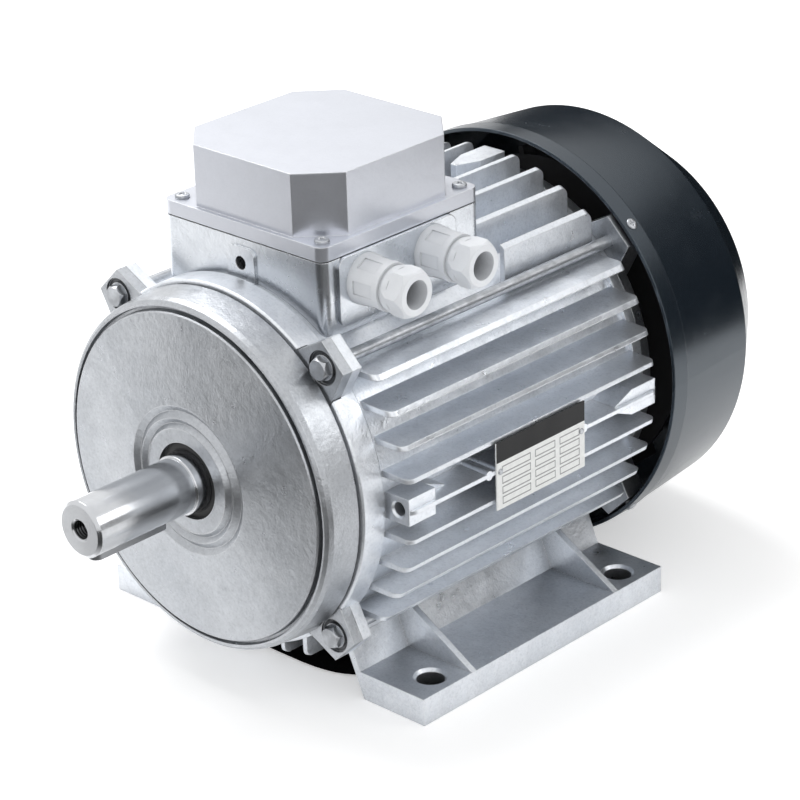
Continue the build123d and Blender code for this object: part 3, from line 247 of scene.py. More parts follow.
class Finish:
    """A small builder of one material's node tree."""

    def __init__(self, name):
        self.material = bpy.data.materials.new(name)
        self.material.use_nodes = True
        self.tree = self.material.node_tree
        self.tree.nodes.clear()
        self.shader = self.add("ShaderNodeBsdfPrincipled")
        output = self.add("ShaderNodeOutputMaterial")
        self.join(self.shader.outputs["BSDF"], output.inputs["Surface"])
        self.place = self.add("ShaderNodeTexCoord").outputs["Object"]

    def add(self, kind, **values):
        """A node with its plain settings."""
        node = self.tree.nodes.new(kind)
        for key, value in values.items():
            setattr(node, key, value)
        return node

    def join(self, a, b):
        """A link, or a value where no socket is given."""
        if isinstance(a, bpy.types.NodeSocket):
            self.tree.links.new(a, b)
        else:
            b.default_value = a

    def stretched(self, scale):
        """Object coordinates stretched along the axes."""
        node = self.add("ShaderNodeMapping")
        self.join(self.place, node.inputs["Vector"])
        node.inputs["Scale"].default_value = scale
        return node.outputs["Vector"]

    def axes(self, vector=None):
        """The X, Y and Z of a vector, or of Object coordinates."""
        node = self.add("ShaderNodeSeparateXYZ")
        self.join(vector or self.place, node.inputs["Vector"])
        return [node.outputs[axis] for axis in "XYZ"]

    def noise(self, scale, detail=3.0, rough=0.55, vector=None):
        """Cloudy pattern, scale in repeats per metre."""
        node = self.add("ShaderNodeTexNoise")
        self.join(vector or self.place, node.inputs["Vector"])
        node.inputs["Scale"].default_value = scale
        node.inputs["Detail"].default_value = detail
        node.inputs["Roughness"].default_value = rough
        return node.outputs["Fac"]

    def ramp(self, value, low, high, out_low=0.0, out_high=1.0):
        """A value spread from one span to another."""
        node = self.add("ShaderNodeMapRange")
        self.join(value, node.inputs["Value"])
        for key, number in (("From Min", low), ("From Max", high),
                            ("To Min", out_low), ("To Max", out_high)):
            node.inputs[key].default_value = number
        return node.outputs["Result"]

    def clouds(self, low, high, **pattern):
        """Cloudy pattern with everything below low at nought and above high at one."""
        return self.ramp(self.noise(**pattern), low, high)

    def graded(self, mask, empty, full):
        """A number that goes from one value to another as a mask fills."""
        return self.ramp(mask, 0.0, 1.0, empty, full)

    def mix(self, factor, a, b):
        """Two colours mixed by a factor."""
        node = self.add("ShaderNodeMix", data_type="RGBA")
        self.join(factor, node.inputs[0])
        for socket, value in ((node.inputs[6], a), (node.inputs[7], b)):
            if isinstance(value, bpy.types.NodeSocket):
                self.join(value, socket)
            else:
                socket.default_value = (*value, 1.0)
        return node.outputs[2]

    def maths(self, kind, a, b=0.0):
        """One sum on two values."""
        node = self.add("ShaderNodeMath", operation=kind)
        self.join(a, node.inputs[0])
        self.join(b, node.inputs[1])
        return node.outputs[0]

    def diagonal(self, a, b):
        """Root of the sum of two squares: the distance that two lengths at right angles span."""
        squares = self.maths("ADD", self.maths("MULTIPLY", a, a), self.maths("MULTIPLY", b, b))
        return self.maths("SQRT", squares)

    def tint(self, base, mask, strength, film):
        """A film of colour over the base where the mask is, as strong as given."""
        return self.mix(self.maths("MULTIPLY", mask, strength), base, film)

    def shaded_corners(self, base, distance, clean, full, strength, dirt):
        """Painted shade in the corners: none where the crevice value is over clean, all of it under
        full.
        """
        mask = self.ramp(self.crevice(distance), clean, full, out_high=strength)
        return self.mix(mask, base, dirt)

    def bump(self, height, distance, strength=1.0, normal=None):
        """Surface relief of a given depth in metres."""
        node = self.add("ShaderNodeBump")
        self.join(height, node.inputs["Height"])
        node.inputs["Distance"].default_value = distance
        node.inputs["Strength"].default_value = strength
        if normal:
            self.join(normal, node.inputs["Normal"])
        return node.outputs["Normal"]

    def soft_edges(self, radius):
        """Normals rounded over the edges."""
        node = self.add("ShaderNodeBevel", samples=SHADER_SAMPLES)
        node.inputs["Radius"].default_value = radius
        return node.outputs["Normal"]

    def edge_mask(self, rounded):
        """One where the rounded normal leaves the true one, so along edges."""
        dot = self.add("ShaderNodeVectorMath", operation="DOT_PRODUCT")
        self.join(rounded, dot.inputs[0])
        self.join(self.add("ShaderNodeNewGeometry").outputs["True Normal"], dot.inputs[1])
        return self.ramp(dot.outputs["Value"], low=0.995, high=0.90)

    def crevice(self, distance):
        """Nought in tight corners and one in the open."""
        node = self.add("ShaderNodeAmbientOcclusion", samples=SHADER_SAMPLES)
        node.inputs["Distance"].default_value = distance
        return node.outputs["AO"]

    def done(self, base, rough, metal=0.0, normal=None, **sockets):
        """Set the shader's own sockets."""
        if isinstance(base, bpy.types.NodeSocket):
            self.join(base, self.shader.inputs["Base Color"])
        else:
            self.shader.inputs["Base Color"].default_value = (*base, 1.0)
        self.join(rough, self.shader.inputs["Roughness"])
        self.join(metal, self.shader.inputs["Metallic"])
        if normal:
            self.join(normal, self.shader.inputs["Normal"])
        for key, value in sockets.items():
            self.shader.inputs[key.replace("_", " ")].default_value = value
        return self.material


def cast_skin(name, light, dark, s, relief=CAST_RELIEF, metal=0.93, speck=1.0, mottle=0.10,
              oily=False, base_rough=None, dirt=0.82, deep=0.0, smoke=0.0):
    """Die-cast aluminium: blotches, drag marks, sand-like grain, rubbed edges and painted shade in
    the corners.

    speck is the strength of the fine marks and mottle the spread of the roughness. The
    other looks paint shade into the narrow corners, and deep into the wide ones, lay a
    painted dark reflection over the faces towards the drive end, and paint shade into the
    recesses round the tie bolts.
    """
    f = Finish(name)
    blotches = f.clouds(low=0.38, high=0.64, scale=22.0, detail=5.0, rough=0.62)
    base = f.mix(blotches, dark, light)
    drag = f.clouds(low=0.36, high=0.66, scale=150.0, detail=4.0, rough=0.65)
    base = f.tint(base, drag, 0.28 * speck, shade(light, 0.72))
    fine = f.noise(scale=0.75 / s.grain, detail=2.0, rough=0.7)
    bright = tuple(min(1.0, c) for c in shade(light, 1.25))
    base = f.mix(f.ramp(fine, low=0.52, high=0.68, out_high=0.20 * speck), base, bright)
    base = f.mix(f.ramp(fine, low=0.46, high=0.32, out_high=0.20 * speck), base, shade(dark, 0.50))
    rounded = f.soft_edges(s.edge)
    base = f.tint(base, f.edge_mask(rounded), 0.50, WORN_CAST)
    # painted shade in the narrow corners, and below it in the wide ones
    base = f.shaded_corners(base, distance=0.012, clean=0.42, full=0.05, strength=dirt,
                    dirt=shade(dark, 0.06))
    if deep:
        base = f.shaded_corners(base, distance=0.030, clean=0.50, full=0.15, strength=deep,
                        dirt=shade(dark, 0.10))
    if smoke:
        # a painted dark reflection on the faces towards the drive end
        base = f.tint(base, front_smoke(f), smoke, PAINTED_REFLECTION_GREY)
    if oily:
        # painted shade in the recesses round the tie bolts
        base = f.tint(base, bolt_recess_shade(f), 0.86, RECESS_SHADE_TONE)
    coarse = f.maths("MULTIPLY", f.noise(scale=0.22 / s.grain, detail=2.0), 1.6)
    grain = f.maths("ADD", f.noise(scale=1.0 / s.grain, rough=0.65), coarse)
    rough = s.roughness if base_rough is None else base_rough
    rough = f.ramp(f.noise(scale=90.0), low=0.3, high=0.7,
                   out_low=rough - mottle / 2, out_high=rough + mottle)
    return f.done(base, rough, metal, f.bump(grain, relief, 1.0, rounded))


def front_smoke(f):
    """Mask of the painted dark reflection: one on the faces towards the drive end, fading out
    towards -X.
    """
    x, _, _ = f.axes()
    _, facing, _ = f.axes(f.add("ShaderNodeNewGeometry").outputs["Normal"])
    return f.maths("MULTIPLY", f.ramp(x, REFLECTION_START, REFLECTION_FULL), f.ramp(facing, -0.6, -0.9))


def bolt_recess_shade(f):
    """Mask of the painted shade inside the spotfaces round the tie bolts, by the distance to the
    nearest bolt's axis.
    """
    x, _, z = f.axes()
    reach = BOLT_CIRCLE * math.sqrt(0.5)
    across = f.maths("SUBTRACT", f.maths("ABSOLUTE", x), reach)
    up = f.maths("SUBTRACT", f.maths("ABSOLUTE", f.maths("SUBTRACT", z, AXIS_HEIGHT)), reach)
    return f.ramp(f.diagonal(across, up), RECESS_SHADE_OUTER, RECESS_SHADE_INNER)


def bore_thread(f, height):
    """A relief with the centre hole's thread added, and the hole's mask.

    The thread is a sine wave along the shaft's axis, once for each pitch.
    """
    x, y, z = f.axes()
    inside = f.ramp(f.diagonal(x, f.maths("SUBTRACT", z, AXIS_HEIGHT)), BORE_MOUTH, BORE_DEEP)
    wave = f.maths("SINE", f.maths("MULTIPLY", y, 2.0 * math.pi / BORE_PITCH))
    thread = f.maths("MULTIPLY", f.maths("MULTIPLY", inside, wave), BORE_THREAD)
    return f.maths("ADD", height, thread), inside


def turned_steel(name, base_colour, rough=0.12, ring=1400.0):
    """Turned and ground steel with fine rings round the shaft axis."""
    f = Finish(name)
    rings = f.noise(scale=ring, detail=2.0, rough=0.6, vector=f.stretched((0.02, 1.0, 0.02)))
    haze = f.clouds(low=0.35, high=0.7, scale=35.0, detail=4.0)
    base = f.mix(haze, shade(base_colour, 0.82), base_colour)
    scratch = f.clouds(low=0.62, high=0.70, scale=260.0, detail=4.0, rough=0.7,
                       vector=f.stretched((1.0, 0.15, 1.0)))
    base = f.tint(base, scratch, 0.3, shade(base_colour, 0.6))
    roughness = f.graded(haze, rough + 0.10, rough)
    relief, inside = bore_thread(f, rings)
    # painted shade inside the shaft's centre hole
    base = f.tint(base, inside, 0.88, BORE_SHADE)
    return f.done(base, roughness, metal=1.0,
                  normal=f.bump(relief, TURNED_RELIEF, 0.8, f.soft_edges(STEEL_EDGE)))


def plated(name, base_colour, rough=0.30):
    """Metal plating: cloudy, with bright edges and a fine grain."""
    f = Finish(name)
    cloud = f.clouds(low=0.35, high=0.7, scale=220.0, detail=4.0)
    rounded = f.soft_edges(STEEL_EDGE)
    base = f.mix(cloud, shade(base_colour, 0.72), base_colour)
    base = f.tint(base, f.edge_mask(rounded), 0.5, WORN_ZINC)
    roughness = f.graded(cloud, rough + 0.15, rough)
    grain = f.noise(scale=900.0, detail=2.0)
    return f.done(base, roughness, metal=0.95, normal=f.bump(grain, PLATED_RELIEF, 0.6, rounded))


def laminated(name, base_colour):
    """Stacked sheet steel: a fine dark line every millimetre along the shaft, and rusty stains."""
    f = Finish(name)
    wave = f.add("ShaderNodeTexWave", wave_type="BANDS", bands_direction="Y", wave_profile="SIN")
    f.join(f.place, wave.inputs["Vector"])
    wave.inputs["Scale"].default_value = SHEET_LINES
    wave.inputs["Distortion"].default_value = 0.4
    line = wave.outputs["Fac"]
    base = f.mix(line, shade(base_colour, 0.45), base_colour)
    stain = f.clouds(low=0.4, high=0.7, scale=40.0, detail=4.0)
    base = f.tint(base, stain, 0.4, CORE_STAIN)
    return f.done(base, f.graded(stain, 0.42, 0.6), metal=0.9,
                  normal=f.bump(line, SHEET_RELIEF, 0.7))


def varnished(name, base_colour):
    """Varnished copper turns: darker streaks under a thin clear coat."""
    f = Finish(name)
    streak = f.clouds(low=0.35, high=0.65, scale=420.0, rough=0.6,
                      vector=f.stretched((1.0, 0.2, 1.0)))
    base = f.mix(streak, shade(base_colour, 0.55), base_colour)
    grain = f.noise(scale=700.0, detail=2.0)
    return f.done(base, f.graded(streak, 0.42, 0.24), metal=0.6,
                  normal=f.bump(grain, WINDING_RELIEF, 0.7), Coat_Weight=0.5, Coat_Roughness=0.15)


def painted(name, base_colour, rough=0.24):
    """Gloss paint with a slight orange-peel skin, a little dust and rubbed edges."""
    f = Finish(name)
    peel = f.noise(scale=330.0, detail=2.0, rough=0.5)
    dust = f.clouds(low=0.5, high=0.8, scale=55.0, detail=5.0, rough=0.65)
    rounded = f.soft_edges(PAINT_EDGE)
    base = f.tint(base_colour, dust, 0.08, PAINT_DUST)
    base = f.tint(base, f.edge_mask(rounded), 0.30, WORN_PAINT)
    return f.done(base, f.graded(dust, rough, rough + 0.06),
                  normal=f.bump(peel, PAINT_RELIEF, 0.2, rounded), Specular_IOR_Level=0.95,
                  Specular_Tint=PAINT_GLINT, Coat_Weight=0.15, Coat_IOR=1.6, Coat_Roughness=0.35)


def moulded(name, base_colour, rough=0.40):
    """Moulded plastic: faint mottling, painted shade in corners and bores, and a fine spark-eroded
    grain.
    """
    f = Finish(name)
    cloud = f.clouds(low=0.35, high=0.7, scale=70.0)
    rounded = f.soft_edges(PLASTIC_EDGE)
    base = f.mix(cloud, shade(base_colour, 0.93), base_colour)
    # painted shade in the tight corners, then wider in the bores
    base = f.shaded_corners(base, distance=0.005, clean=0.85, full=0.10, strength=0.65,
                    dirt=shade(base_colour, 0.35))
    base = f.shaded_corners(base, distance=0.022, clean=0.34, full=0.06, strength=0.80,
                    dirt=shade(base_colour, 0.12))
    grain = f.noise(scale=700.0, detail=2.0)
    return f.done(base, f.graded(cloud, rough + 0.07, rough),
                  normal=f.bump(grain, PLASTIC_RELIEF, 0.7, rounded), Specular_IOR_Level=0.5)


def rubbery(name, base_colour):
    """Black rubber with a dusty bloom."""
    f = Finish(name)
    bloom = f.clouds(low=0.4, high=0.75, scale=160.0, detail=4.0)
    base = f.tint(base_colour, bloom, 0.5, RUBBER_BLOOM)
    grain = f.noise(scale=1200.0, detail=2.0)
    return f.done(base, f.graded(bloom, 0.5, 0.72), normal=f.bump(grain, RUBBER_RELIEF, 0.7))


def plate_finish():
    """Pale plate with a dark band along its top and plain ruled boxes."""
    f = Finish("plate_print")
    low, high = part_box("nameplate")
    mapped = f.add("ShaderNodeMapping", vector_type="POINT")
    f.join(f.place, mapped.inputs["Vector"])
    width, height = high[1] - low[1], high[2] - low[2]
    mapped.inputs["Location"].default_value = (0.0, -low[1] / width, -low[2] / height)
    mapped.inputs["Scale"].default_value = (1.0, 1.0 / width, 1.0 / height)
    _, across, up = f.axes(mapped.outputs["Vector"])

    def between(value, start, end):
        """One where the value lies between two limits."""
        return f.maths("MULTIPLY", f.maths("GREATER_THAN", value, start),
                       f.maths("LESS_THAN", value, end))

    def within(left, right, foot, top):
        """One inside a rectangle of the plate, in shares of its size."""
        return f.maths("MULTIPLY", between(across, left, right), between(up, foot, top))

    band = within(0.0, 1.0, PLATE_BAND_FOOT, 1.01)
    ink = None
    for foot in PLATE_FEET:
        for left, right in PLATE_COLUMNS:
            outer = within(left, right, foot, foot + PLATE_BOX_HEIGHT)
            inner = within(left + PLATE_LINE_ACROSS, right - PLATE_LINE_ACROSS,
                           foot + PLATE_LINE_UP, foot + PLATE_BOX_HEIGHT - PLATE_LINE_UP)
            ruled = f.maths("SUBTRACT", outer, inner)
            ink = f.maths("MAXIMUM", ink, ruled) if ink else ruled
    base = f.mix(f.clouds(low=0.3, high=0.7, scale=300.0, detail=2.0, rough=0.6), *PLATE_PALE)
    base = f.mix(band, base, PLATE_BAND)
    base = f.tint(base, ink, 0.75, PLATE_INK)
    rough = f.ramp(f.noise(scale=90.0), low=0.3, high=0.7, out_low=0.34, out_high=0.46)
    return f.done(base, rough, Specular_IOR_Level=0.25)


def dress(material, *names):
    """Give a material to CAD nodes."""
    for name in names:
        mesh = NODES[name].data
        mesh.materials.clear()
        mesh.materials.append(material)


# Surfaces worked out with numpy

def grid_quads(points):
    """Quads between the neighbours of a grid of points, as rows of four numbers."""
    rows, columns = points.shape[:2]
    index = np.arange(rows * columns).reshape(rows, columns)
    corners = (index[:-1, :-1], index[:-1, 1:], index[1:, 1:], index[1:, :-1])
    return np.stack(corners, -1).reshape(-1, 4)


def new_piece(name, mesh):
    """An object at the origin for a finished mesh."""
    thing = bpy.data.objects.new(name, mesh)
    bpy.context.scene.collection.objects.link(thing)
    return thing


def sheet(name, points, material):
    """One object from a grid of points: rows by columns by xyz."""
    mesh = bpy.data.meshes.new(name)
    mesh.from_pydata(points.reshape(-1, 3).tolist(), [], grid_quads(points).tolist())
    mesh.update()
    mesh.materials.append(material)
    return new_piece(name, mesh)


def flat_sheet(name, x, y, height, material):
    """A sheet that lies level at one height."""
    return sheet(name, np.stack([x, y, np.full_like(x, height)], -1), material)


def joined_sheets(name, grids):
    """One object of several closed grids: doubled seams merged and faces turned outwards."""
    verts, faces, start = [], [], 0
    for points in grids:
        faces.append(grid_quads(points) + start)
        verts.append(points.reshape(-1, 3))
        start += len(verts[-1])
    mesh = bpy.data.meshes.new(name)
    mesh.from_pydata(np.concatenate(verts).tolist(), [], np.concatenate(faces).tolist())
    work = bmesh.new()
    work.from_mesh(mesh)
    bmesh.ops.remove_doubles(work, verts=work.verts, dist=SEAM)
    bmesh.ops.recalc_face_normals(work, faces=work.faces)
    work.to_mesh(mesh)
    work.free()
    mesh.shade_smooth()
    mesh.update()
    return new_piece(name, mesh)


def screw_grid(radius, head, depth):
    """A pan-head screw with a cross recess: radius, turn angle and height of each grid point.

    The profile runs from the middle of the dome over the lip, under the head and down the
    shank to its tip, and is turned about its axis. The dome is a parabola over the radius
    and the lip a quarter of an ellipse. The recess sinks by a smooth cross, which is one
    where the nearer bar is closer than its half width, and nought beyond the bars' ends.
    The shank's radius falls by a triangle wave of the turn plus the height over the pitch.
    """
    flat, fall, lip_foot, lip_rise = 0.80, 0.32, 0.35, 0.445     # shares of the head's size
    bar_half, bar_blur, bar_end, end_blur, sink = 0.13, 0.035, 0.52, 0.05, 0.62
    point = 0.4                                                  # share of the shank's radius

    turn = np.linspace(0.0, 2.0 * np.pi, SCREW_ROWS["turn"])
    dome = np.linspace(0.0, flat, SCREW_ROWS["dome"])
    lip = np.linspace(0.0, np.pi / 2, SCREW_ROWS["lip"])[1:]
    down = np.linspace(0.0, -depth, SCREW_ROWS["shank"])
    profile_r = np.concatenate([radius * dome, radius * (flat + (1.0 - flat) * np.sin(lip)),
                                [radius, SHANK_RADIUS], np.full(down.size, SHANK_RADIUS),
                                [SHANK_RADIUS * point, 0.0]])
    profile_z = np.concatenate([head * (1.0 - fall * dome ** 2),
                                head * (lip_foot + lip_rise * np.cos(lip)),
                                [0.0, 0.0], down, [-depth, -depth]])
    r, angles = np.meshgrid(profile_r, turn, indexing="ij")
    z = np.repeat(profile_z[:, None], turn.size, axis=1)
    rows = np.arange(profile_r.size)[:, None]

    bar = np.minimum(np.abs(r * np.cos(angles)), np.abs(r * np.sin(angles)))
    cross = 0.5 - 0.5 * np.tanh((bar - bar_half * radius) / (bar_blur * radius))
    cross = cross * (0.5 - 0.5 * np.tanh((r - bar_end * radius) / (end_blur * radius)))
    z = z - np.where(rows < dome.size, sink * head * cross, 0.0)

    shank_row = profile_r.size - 2 - down.size
    threaded = (rows >= shank_row) & (rows < shank_row + down.size)
    wave = np.abs(((angles / (2.0 * np.pi) + z / SCREW_PITCH) % 1.0) * 2.0 - 1.0)
    return r - np.where(threaded, THREAD_DEPTH * wave, 0.0), angles, z


def cross_screws(name, spots, radius, head, depth, material, node):
    """Pan-head screws in place of a CAD node, each at a spot: its seat and three directions."""
    r, angles, z = screw_grid(radius, head, depth)
    sets = []
    for seat, *directions in spots:
        along, across, up = (np.array(v, dtype=float) for v in directions)
        sets.append(np.array(seat) + (r * np.cos(angles))[..., None] * along
                    + (r * np.sin(angles))[..., None] * across + z[..., None] * up)
    thing = joined_sheets(name, sets)
    thing.data.materials.append(material)
    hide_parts(node)
    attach(thing, "motor_body")


# Operators

class MOTOR_OT_castings(bpy.types.Operator):
    """Cast aluminium skin on the frame, feet, box, lid, shields and rotor cage"""
    bl_idname = "motor.castings"
    bl_label = "Castings"

    def execute(self, context):
        s = context.scene.motor_casting

        def skin(name, light, dark, *nodes, **looks):
            """One skin for some nodes, in shares of the two cast colours."""
            dress(cast_skin(name, shade(s.light, light), shade(s.dark, dark), s, **looks), *nodes)

        # The frame's copy of the cast colours is lighter, as painted light; the fan end shield's
        # copy is darker still
        skin("cast_skin", 1.08, 1.15, "frame", metal=0.80, dirt=0.6)
        skin("foot_skin", 1.0, 1.0, "foot_right", "foot_left", deep=0.75)
        skin("box_skin", 0.98, 0.94, "terminal_box", relief=BOX_RELIEF, speck=0.5, mottle=0.04,
             base_rough=0.25, smoke=0.8)
        # darker copy of the cast colours, as painted shade on the drive end shield
        skin("shield_skin", 0.66, 0.62, "drive_end_shield", oily=True, dirt=0.5)
        skin("rear_shield_skin", 0.6, 0.5, "fan_end_shield")
        dress(cast_skin("lid_skin", tuple(s.lid), shade(s.lid, 0.975), s, relief=LID_RELIEF,
                        metal=0.90, speck=0.20, mottle=0.02), "terminal_box_lid")
        skin("cage_skin", 1.0, 1.0, "rotor_cage")
        return {"FINISHED"}


class MOTOR_OT_shaft_line(bpy.types.Operator):
    """Steel and copper finishes of the shaft, keys, bearings, cores and windings"""
    bl_idname = "motor.shaft_line"
    bl_label = "Shaft line"

    def execute(self, context):
        s = context.scene.motor_steel
        dress(turned_steel("shaft_steel", tuple(s.ground)), "shaft")
        dress(turned_steel("key_steel", shade(s.ground, 0.8), rough=0.30), "shaft_key", "fan_key")
        dress(turned_steel("race_steel", shade(s.ground, 1.1), rough=0.14, ring=2200.0),
              "bearing_outer_ring_drive_end", "bearing_outer_ring_fan_end",
              "bearing_inner_ring_drive_end", "bearing_inner_ring_fan_end",
              "ball_set_drive_end", "ball_set_fan_end")
        dress(turned_steel("spring_steel", shade(s.ground, 0.45), rough=0.34),
              "wave_washer", "fan_circlip")
        dress(laminated("core_steel", tuple(s.dark)), "stator_core", "rotor_core")
        dress(varnished("winding_copper", tuple(s.copper)), "winding_drive_end", "winding_fan_end")
        return {"FINISHED"}


class MOTOR_OT_fasteners(bpy.types.Operator):
    """Plated finish of the bolts and screws, cross-head screws, and brass in the box"""
    bl_idname = "motor.fasteners"
    bl_label = "Fasteners"

    def execute(self, context):
        s = context.scene.motor_steel
        zinc = plated("zinc", tuple(s.zinc))
        dress(zinc, "tie_bolts", "tie_bolt_washers", "lid_screws", "cowl_screws", "foot_screws",
              "nameplate_rivets")
        low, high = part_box("lid_screws")
        spots = [((x, y, high[2] - s.lid_head), (1, 0, 0), (0, 1, 0), (0, 0, 1))
                 for x in (low[0] + s.lid_radius, high[0] - s.lid_radius)
                 for y in (low[1] + s.lid_radius, high[1] - s.lid_radius)]
        lid_shank = high[2] - low[2] - s.lid_head
        cross_screws("lid_screw_set", spots, s.lid_radius, s.lid_head, lid_shank, zinc,
                     "lid_screws")
        low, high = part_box("cowl_screws")
        seat = (high[0] - s.cowl_radius * math.sqrt(0.5)) * math.sqrt(2.0) - s.cowl_head
        spots = []
        for turn in COWL_TURNS:
            c, k = math.cos(math.radians(turn)), math.sin(math.radians(turn))
            spots.append(((seat * c, (low[1] + high[1]) / 2, AXIS_HEIGHT + seat * k),
                          (0, 1, 0), (-k, 0, c), (c, 0, k)))
        cross_screws("cowl_screw_set", spots, s.cowl_radius, s.cowl_head, COWL_SHANK, zinc,
                     "cowl_screws")
        dress(plated("brass", tuple(s.brass), rough=0.26), "terminal_studs", "terminal_links",
              "terminal_nuts")
        return {"FINISHED"}


class MOTOR_OT_cowl(bpy.types.Operator):
    """Black paint of the fan cowl and the moulded fan"""
    bl_idname = "motor.cowl"
    bl_label = "Fan cowl"

    def execute(self, context):
        s = context.scene.motor_plastic
        dress(painted("cowl_paint", tuple(s.cowl)), "fan_cowl")
        dress(moulded("fan_plastic", FAN_BLACK, rough=0.5), "fan")
        return {"FINISHED"}


class MOTOR_OT_glands(bpy.types.Operator):
    """Off-white plastic of the glands, the board and the rubber pieces"""
    bl_idname = "motor.glands"
    bl_label = "Glands and seals"

    def execute(self, context):
        s = context.scene.motor_plastic
        dress(moulded("gland_plastic", tuple(s.gland), rough=0.36),
              "gland_body_front", "gland_body_rear", "gland_cap_front", "gland_cap_rear",
              "gland_locknuts")
        dress(moulded("board_plastic", tuple(s.board), rough=0.42), "terminal_board")
        dress(rubbery("seal_rubber", tuple(s.rubber)),
              "shaft_seal_drive_end", "shaft_seal_fan_end", "lid_gasket")
        return {"FINISHED"}


class MOTOR_OT_nameplate(bpy.types.Operator):
    """Bare plate with a plain band and ruled boxes"""
    bl_idname = "motor.nameplate"
    bl_label = "Plate"

    def execute(self, context):
        dress(plate_finish(), "nameplate")
        return {"FINISHED"}


# The stage

def place_camera(scene, s):
    """Camera at the photograph's place, turned by its three angles."""
    data = bpy.data.cameras.new("camera")
    data.sensor_width = SENSOR_WIDTH
    data.lens = s.lens
    data.clip_end = CAMERA_REACH
    camera = new_piece("camera", data)
    turn = Euler((math.pi / 2 - s.elevation, 0.0, s.azimuth)).to_matrix()
    turn = turn @ Matrix.Rotation(s.roll, 3, "Z")
    camera.matrix_world = Matrix.Translation(CAMERA_PLACE) @ turn.to_4x4()
    scene.camera = camera
    scene.view_settings.view_transform = "Standard"


def lamp(name, place, size, watts):
    """Square area lamp that looks at the motor's middle."""
    data = bpy.data.lights.new(name, "AREA")
    data.size = size
    data.energy = watts
    thing = new_piece(name, data)
    thing.location = place
    thing.rotation_euler = (Vector(LAMP_TARGET) - Vector(place)).to_track_quat("-Z", "Y").to_euler()


def seen_white(tree, strength, seen=1.0):
    """One glow towards the camera, reflections and glass, and another strength as a light."""
    path = tree.nodes.new("ShaderNodeLightPath")
    looked_at = path.outputs["Is Camera Ray"]
    for ray in ("Is Glossy Ray", "Is Transmission Ray"):
        either = tree.nodes.new("ShaderNodeMath")
        either.operation = "MAXIMUM"
        tree.links.new(looked_at, either.inputs[0])
        tree.links.new(path.outputs[ray], either.inputs[1])
        looked_at = either.outputs[0]
    spread = tree.nodes.new("ShaderNodeMapRange")
    tree.links.new(looked_at, spread.inputs["Value"])
    spread.inputs["To Min"].default_value = strength
    spread.inputs["To Max"].default_value = seen
    return spread.outputs["Result"]


def white_room(scene):
    """White surroundings."""
    world = bpy.data.worlds.new("studio")
    scene.world = world
    world.use_nodes = True
    background = world.node_tree.nodes["Background"]
    background.inputs["Color"].default_value = WHITE
    glow = seen_white(world.node_tree, ROOM_LIGHT)
    world.node_tree.links.new(glow, background.inputs["Strength"])


def floor_paint():
    """Pale matt floor that glows a little to the camera, so that it meets the white room."""
    paint = bpy.data.materials.new("floor_paint")
    paint.use_nodes = True
    shader = paint.node_tree.nodes["Principled BSDF"]
    for key, value in (("Base Color", FLOOR_COLOUR), ("Roughness", 0.9),
                       ("Specular IOR Level", 0.1), ("Emission Color", WHITE)):
        shader.inputs[key].default_value = value
    glow = seen_white(paint.node_tree, 0.0, FLOOR_SEEN)
    paint.node_tree.links.new(glow, shader.inputs["Emission Strength"])
    return paint


def card_cloth():
    """Dark front card, glowing towards its edge near the motor."""
    f = Finish("card_cloth")
    reach = f.add("ShaderNodeVectorMath", operation="DOT_PRODUCT")
    f.join(f.place, reach.inputs[0])
    reach.inputs[1].default_value = (*CARD_ACROSS, 0.0)
    start = CARD_CORNER[0] * CARD_ACROSS[0] + CARD_CORNER[1] * CARD_ACROSS[1]
    glow = f.ramp(reach.outputs["Value"], start, start + CARD_FADE, *CARD_GLOW)
    f.join(glow, f.shader.inputs["Emission Strength"])
    f.shader.inputs["Emission Color"].default_value = WHITE
    return f.done(BLACK, rough=1.0, Specular_IOR_Level=0.0)


def black_cloth():
    """Plain dark cloth of the back card, and the black of the sheets of painted shadow under the
    motor and its feet.
    """
    f = Finish("black_cloth")
    weave = f.noise(scale=900.0, detail=2.0)
    return f.done(f.mix(weave, *FLAG_AND_SHADOW_BLACK), rough=1.0, Specular_IOR_Level=0.0)


def span(u, v, u_points=3, v_points=3):
    """A grid of two parameters between their limits."""
    return np.meshgrid(np.linspace(*u, u_points), np.linspace(*v, v_points), indexing="ij")


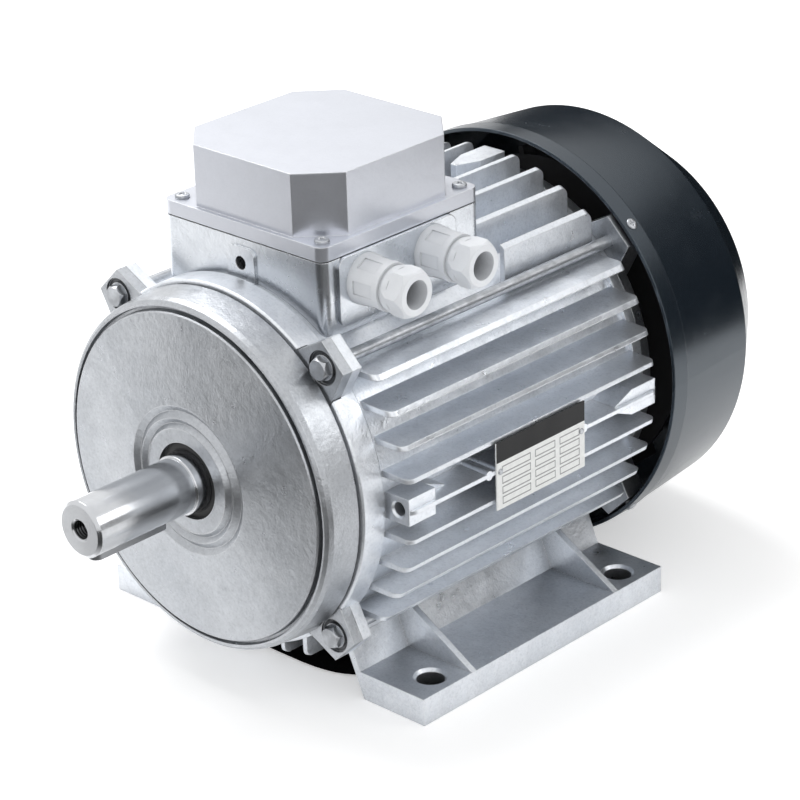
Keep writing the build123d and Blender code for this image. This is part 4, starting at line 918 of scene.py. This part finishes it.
class MOTOR_OT_stage(bpy.types.Operator):
    """Camera, white room, floor, cards, black sheets of painted shadow and lamps"""
    bl_idname = "motor.stage"
    bl_label = "Stage"

    def execute(self, context):
        scene = context.scene
        s = scene.motor_stage
        place_camera(scene, s)
        white_room(scene)

        x, y = span((-FLOOR_HALF, FLOOR_HALF), (-FLOOR_HALF, FLOOR_HALF))
        floor = flat_sheet("floor", x, y, 0.0, floor_paint())

        # Cards that only reflections see, and a black sheet of painted shadow under the motor that
        # the
        # camera sees too: its half widths times the root of the cosine and of the sine, so a
        # rounded rectangle
        cloth = black_cloth()
        along, across = span(*CARD_SPANS)
        x = CARD_CORNER[0] + CARD_ALONG[0] * along + CARD_ACROSS[0] * across
        y = CARD_CORNER[1] + CARD_ALONG[1] * along + CARD_ACROSS[1] * across
        front = flat_sheet("front_card", x, y, CARD_HEIGHT, card_cloth())
        x, z = span(*BACK_CARD_SPANS)
        back = sheet("back_card", np.stack([x, np.full_like(x, BACK_CARD_Y), z], -1), cloth)
        r, turn = span(*UNDER_SPANS, u_points=4, v_points=65)
        x = UNDER_HALF[0] * r * np.sign(np.cos(turn)) * np.sqrt(np.abs(np.cos(turn)))
        y = UNDER_HALF[1] * r * np.sign(np.sin(turn)) * np.sqrt(np.abs(np.sin(turn)))
        under = flat_sheet("under_mat", x, y, UNDER_HEIGHT, cloth)
        for card in (front, back, under):
            card.visible_camera = card is under
            card.visible_shadow = False
            card.visible_diffuse = card is under

        # Black sheets of painted shadow that show through the holes of the feet
        for name in ("foot_right", "foot_left"):
            low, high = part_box(name)
            side = np.sign(low[0] + high[0])
            x, y = span(FOOT_SHADOW_X, (low[1] + FOOT_SHADOW_INSET, high[1] - FOOT_SHADOW_INSET))
            hole_shadow = flat_sheet("mat_" + name, side * x, y, FOOT_SHADOW_HEIGHT, cloth)

        for name, (place, size) in LAMPS.items():
            lamp(name + "_lamp", place, size, getattr(s, name))
        return {"FINISHED"}


class MOTOR_PT_panel(bpy.types.Panel):
    """The list of finishing steps"""
    bl_idname = "MOTOR_PT_panel"
    bl_label = "Electric motor"
    bl_space_type = "VIEW_3D"
    bl_region_type = "UI"
    bl_category = "Motor"

    def draw(self, context):
        for group in GROUPS:
            settings = getattr(context.scene, group)
            box = self.layout.box()
            for key in settings.__annotations__:
                box.prop(settings, key)
        for step in STEPS:
            self.layout.operator(step.bl_idname)


GROUPS = {"motor_casting": CastingSettings, "motor_steel": SteelSettings,
          "motor_plastic": PlasticSettings, "motor_stage": StageSettings}
STEPS = (MOTOR_OT_castings, MOTOR_OT_shaft_line, MOTOR_OT_fasteners, MOTOR_OT_cowl, MOTOR_OT_glands,
         MOTOR_OT_nameplate, MOTOR_OT_stage)


def register():
    for kind in (*GROUPS.values(), *STEPS, MOTOR_PT_panel):
        bpy.utils.register_class(kind)
    for name, kind in GROUPS.items():
        setattr(bpy.types.Scene, name, PointerProperty(type=kind))


def unregister():
    for name in GROUPS:
        delattr(bpy.types.Scene, name)
    for kind in reversed((*GROUPS.values(), *STEPS, MOTOR_PT_panel)):
        bpy.utils.unregister_class(kind)


def main():
    """Run every step in order."""
    register()
    for step in STEPS:
        area, name = step.bl_idname.split(".")
        if getattr(getattr(bpy.ops, area), name)() != {"FINISHED"}:
            raise RuntimeError(step.bl_label + " didn't finish")


if __name__ == "__main__":
    main()
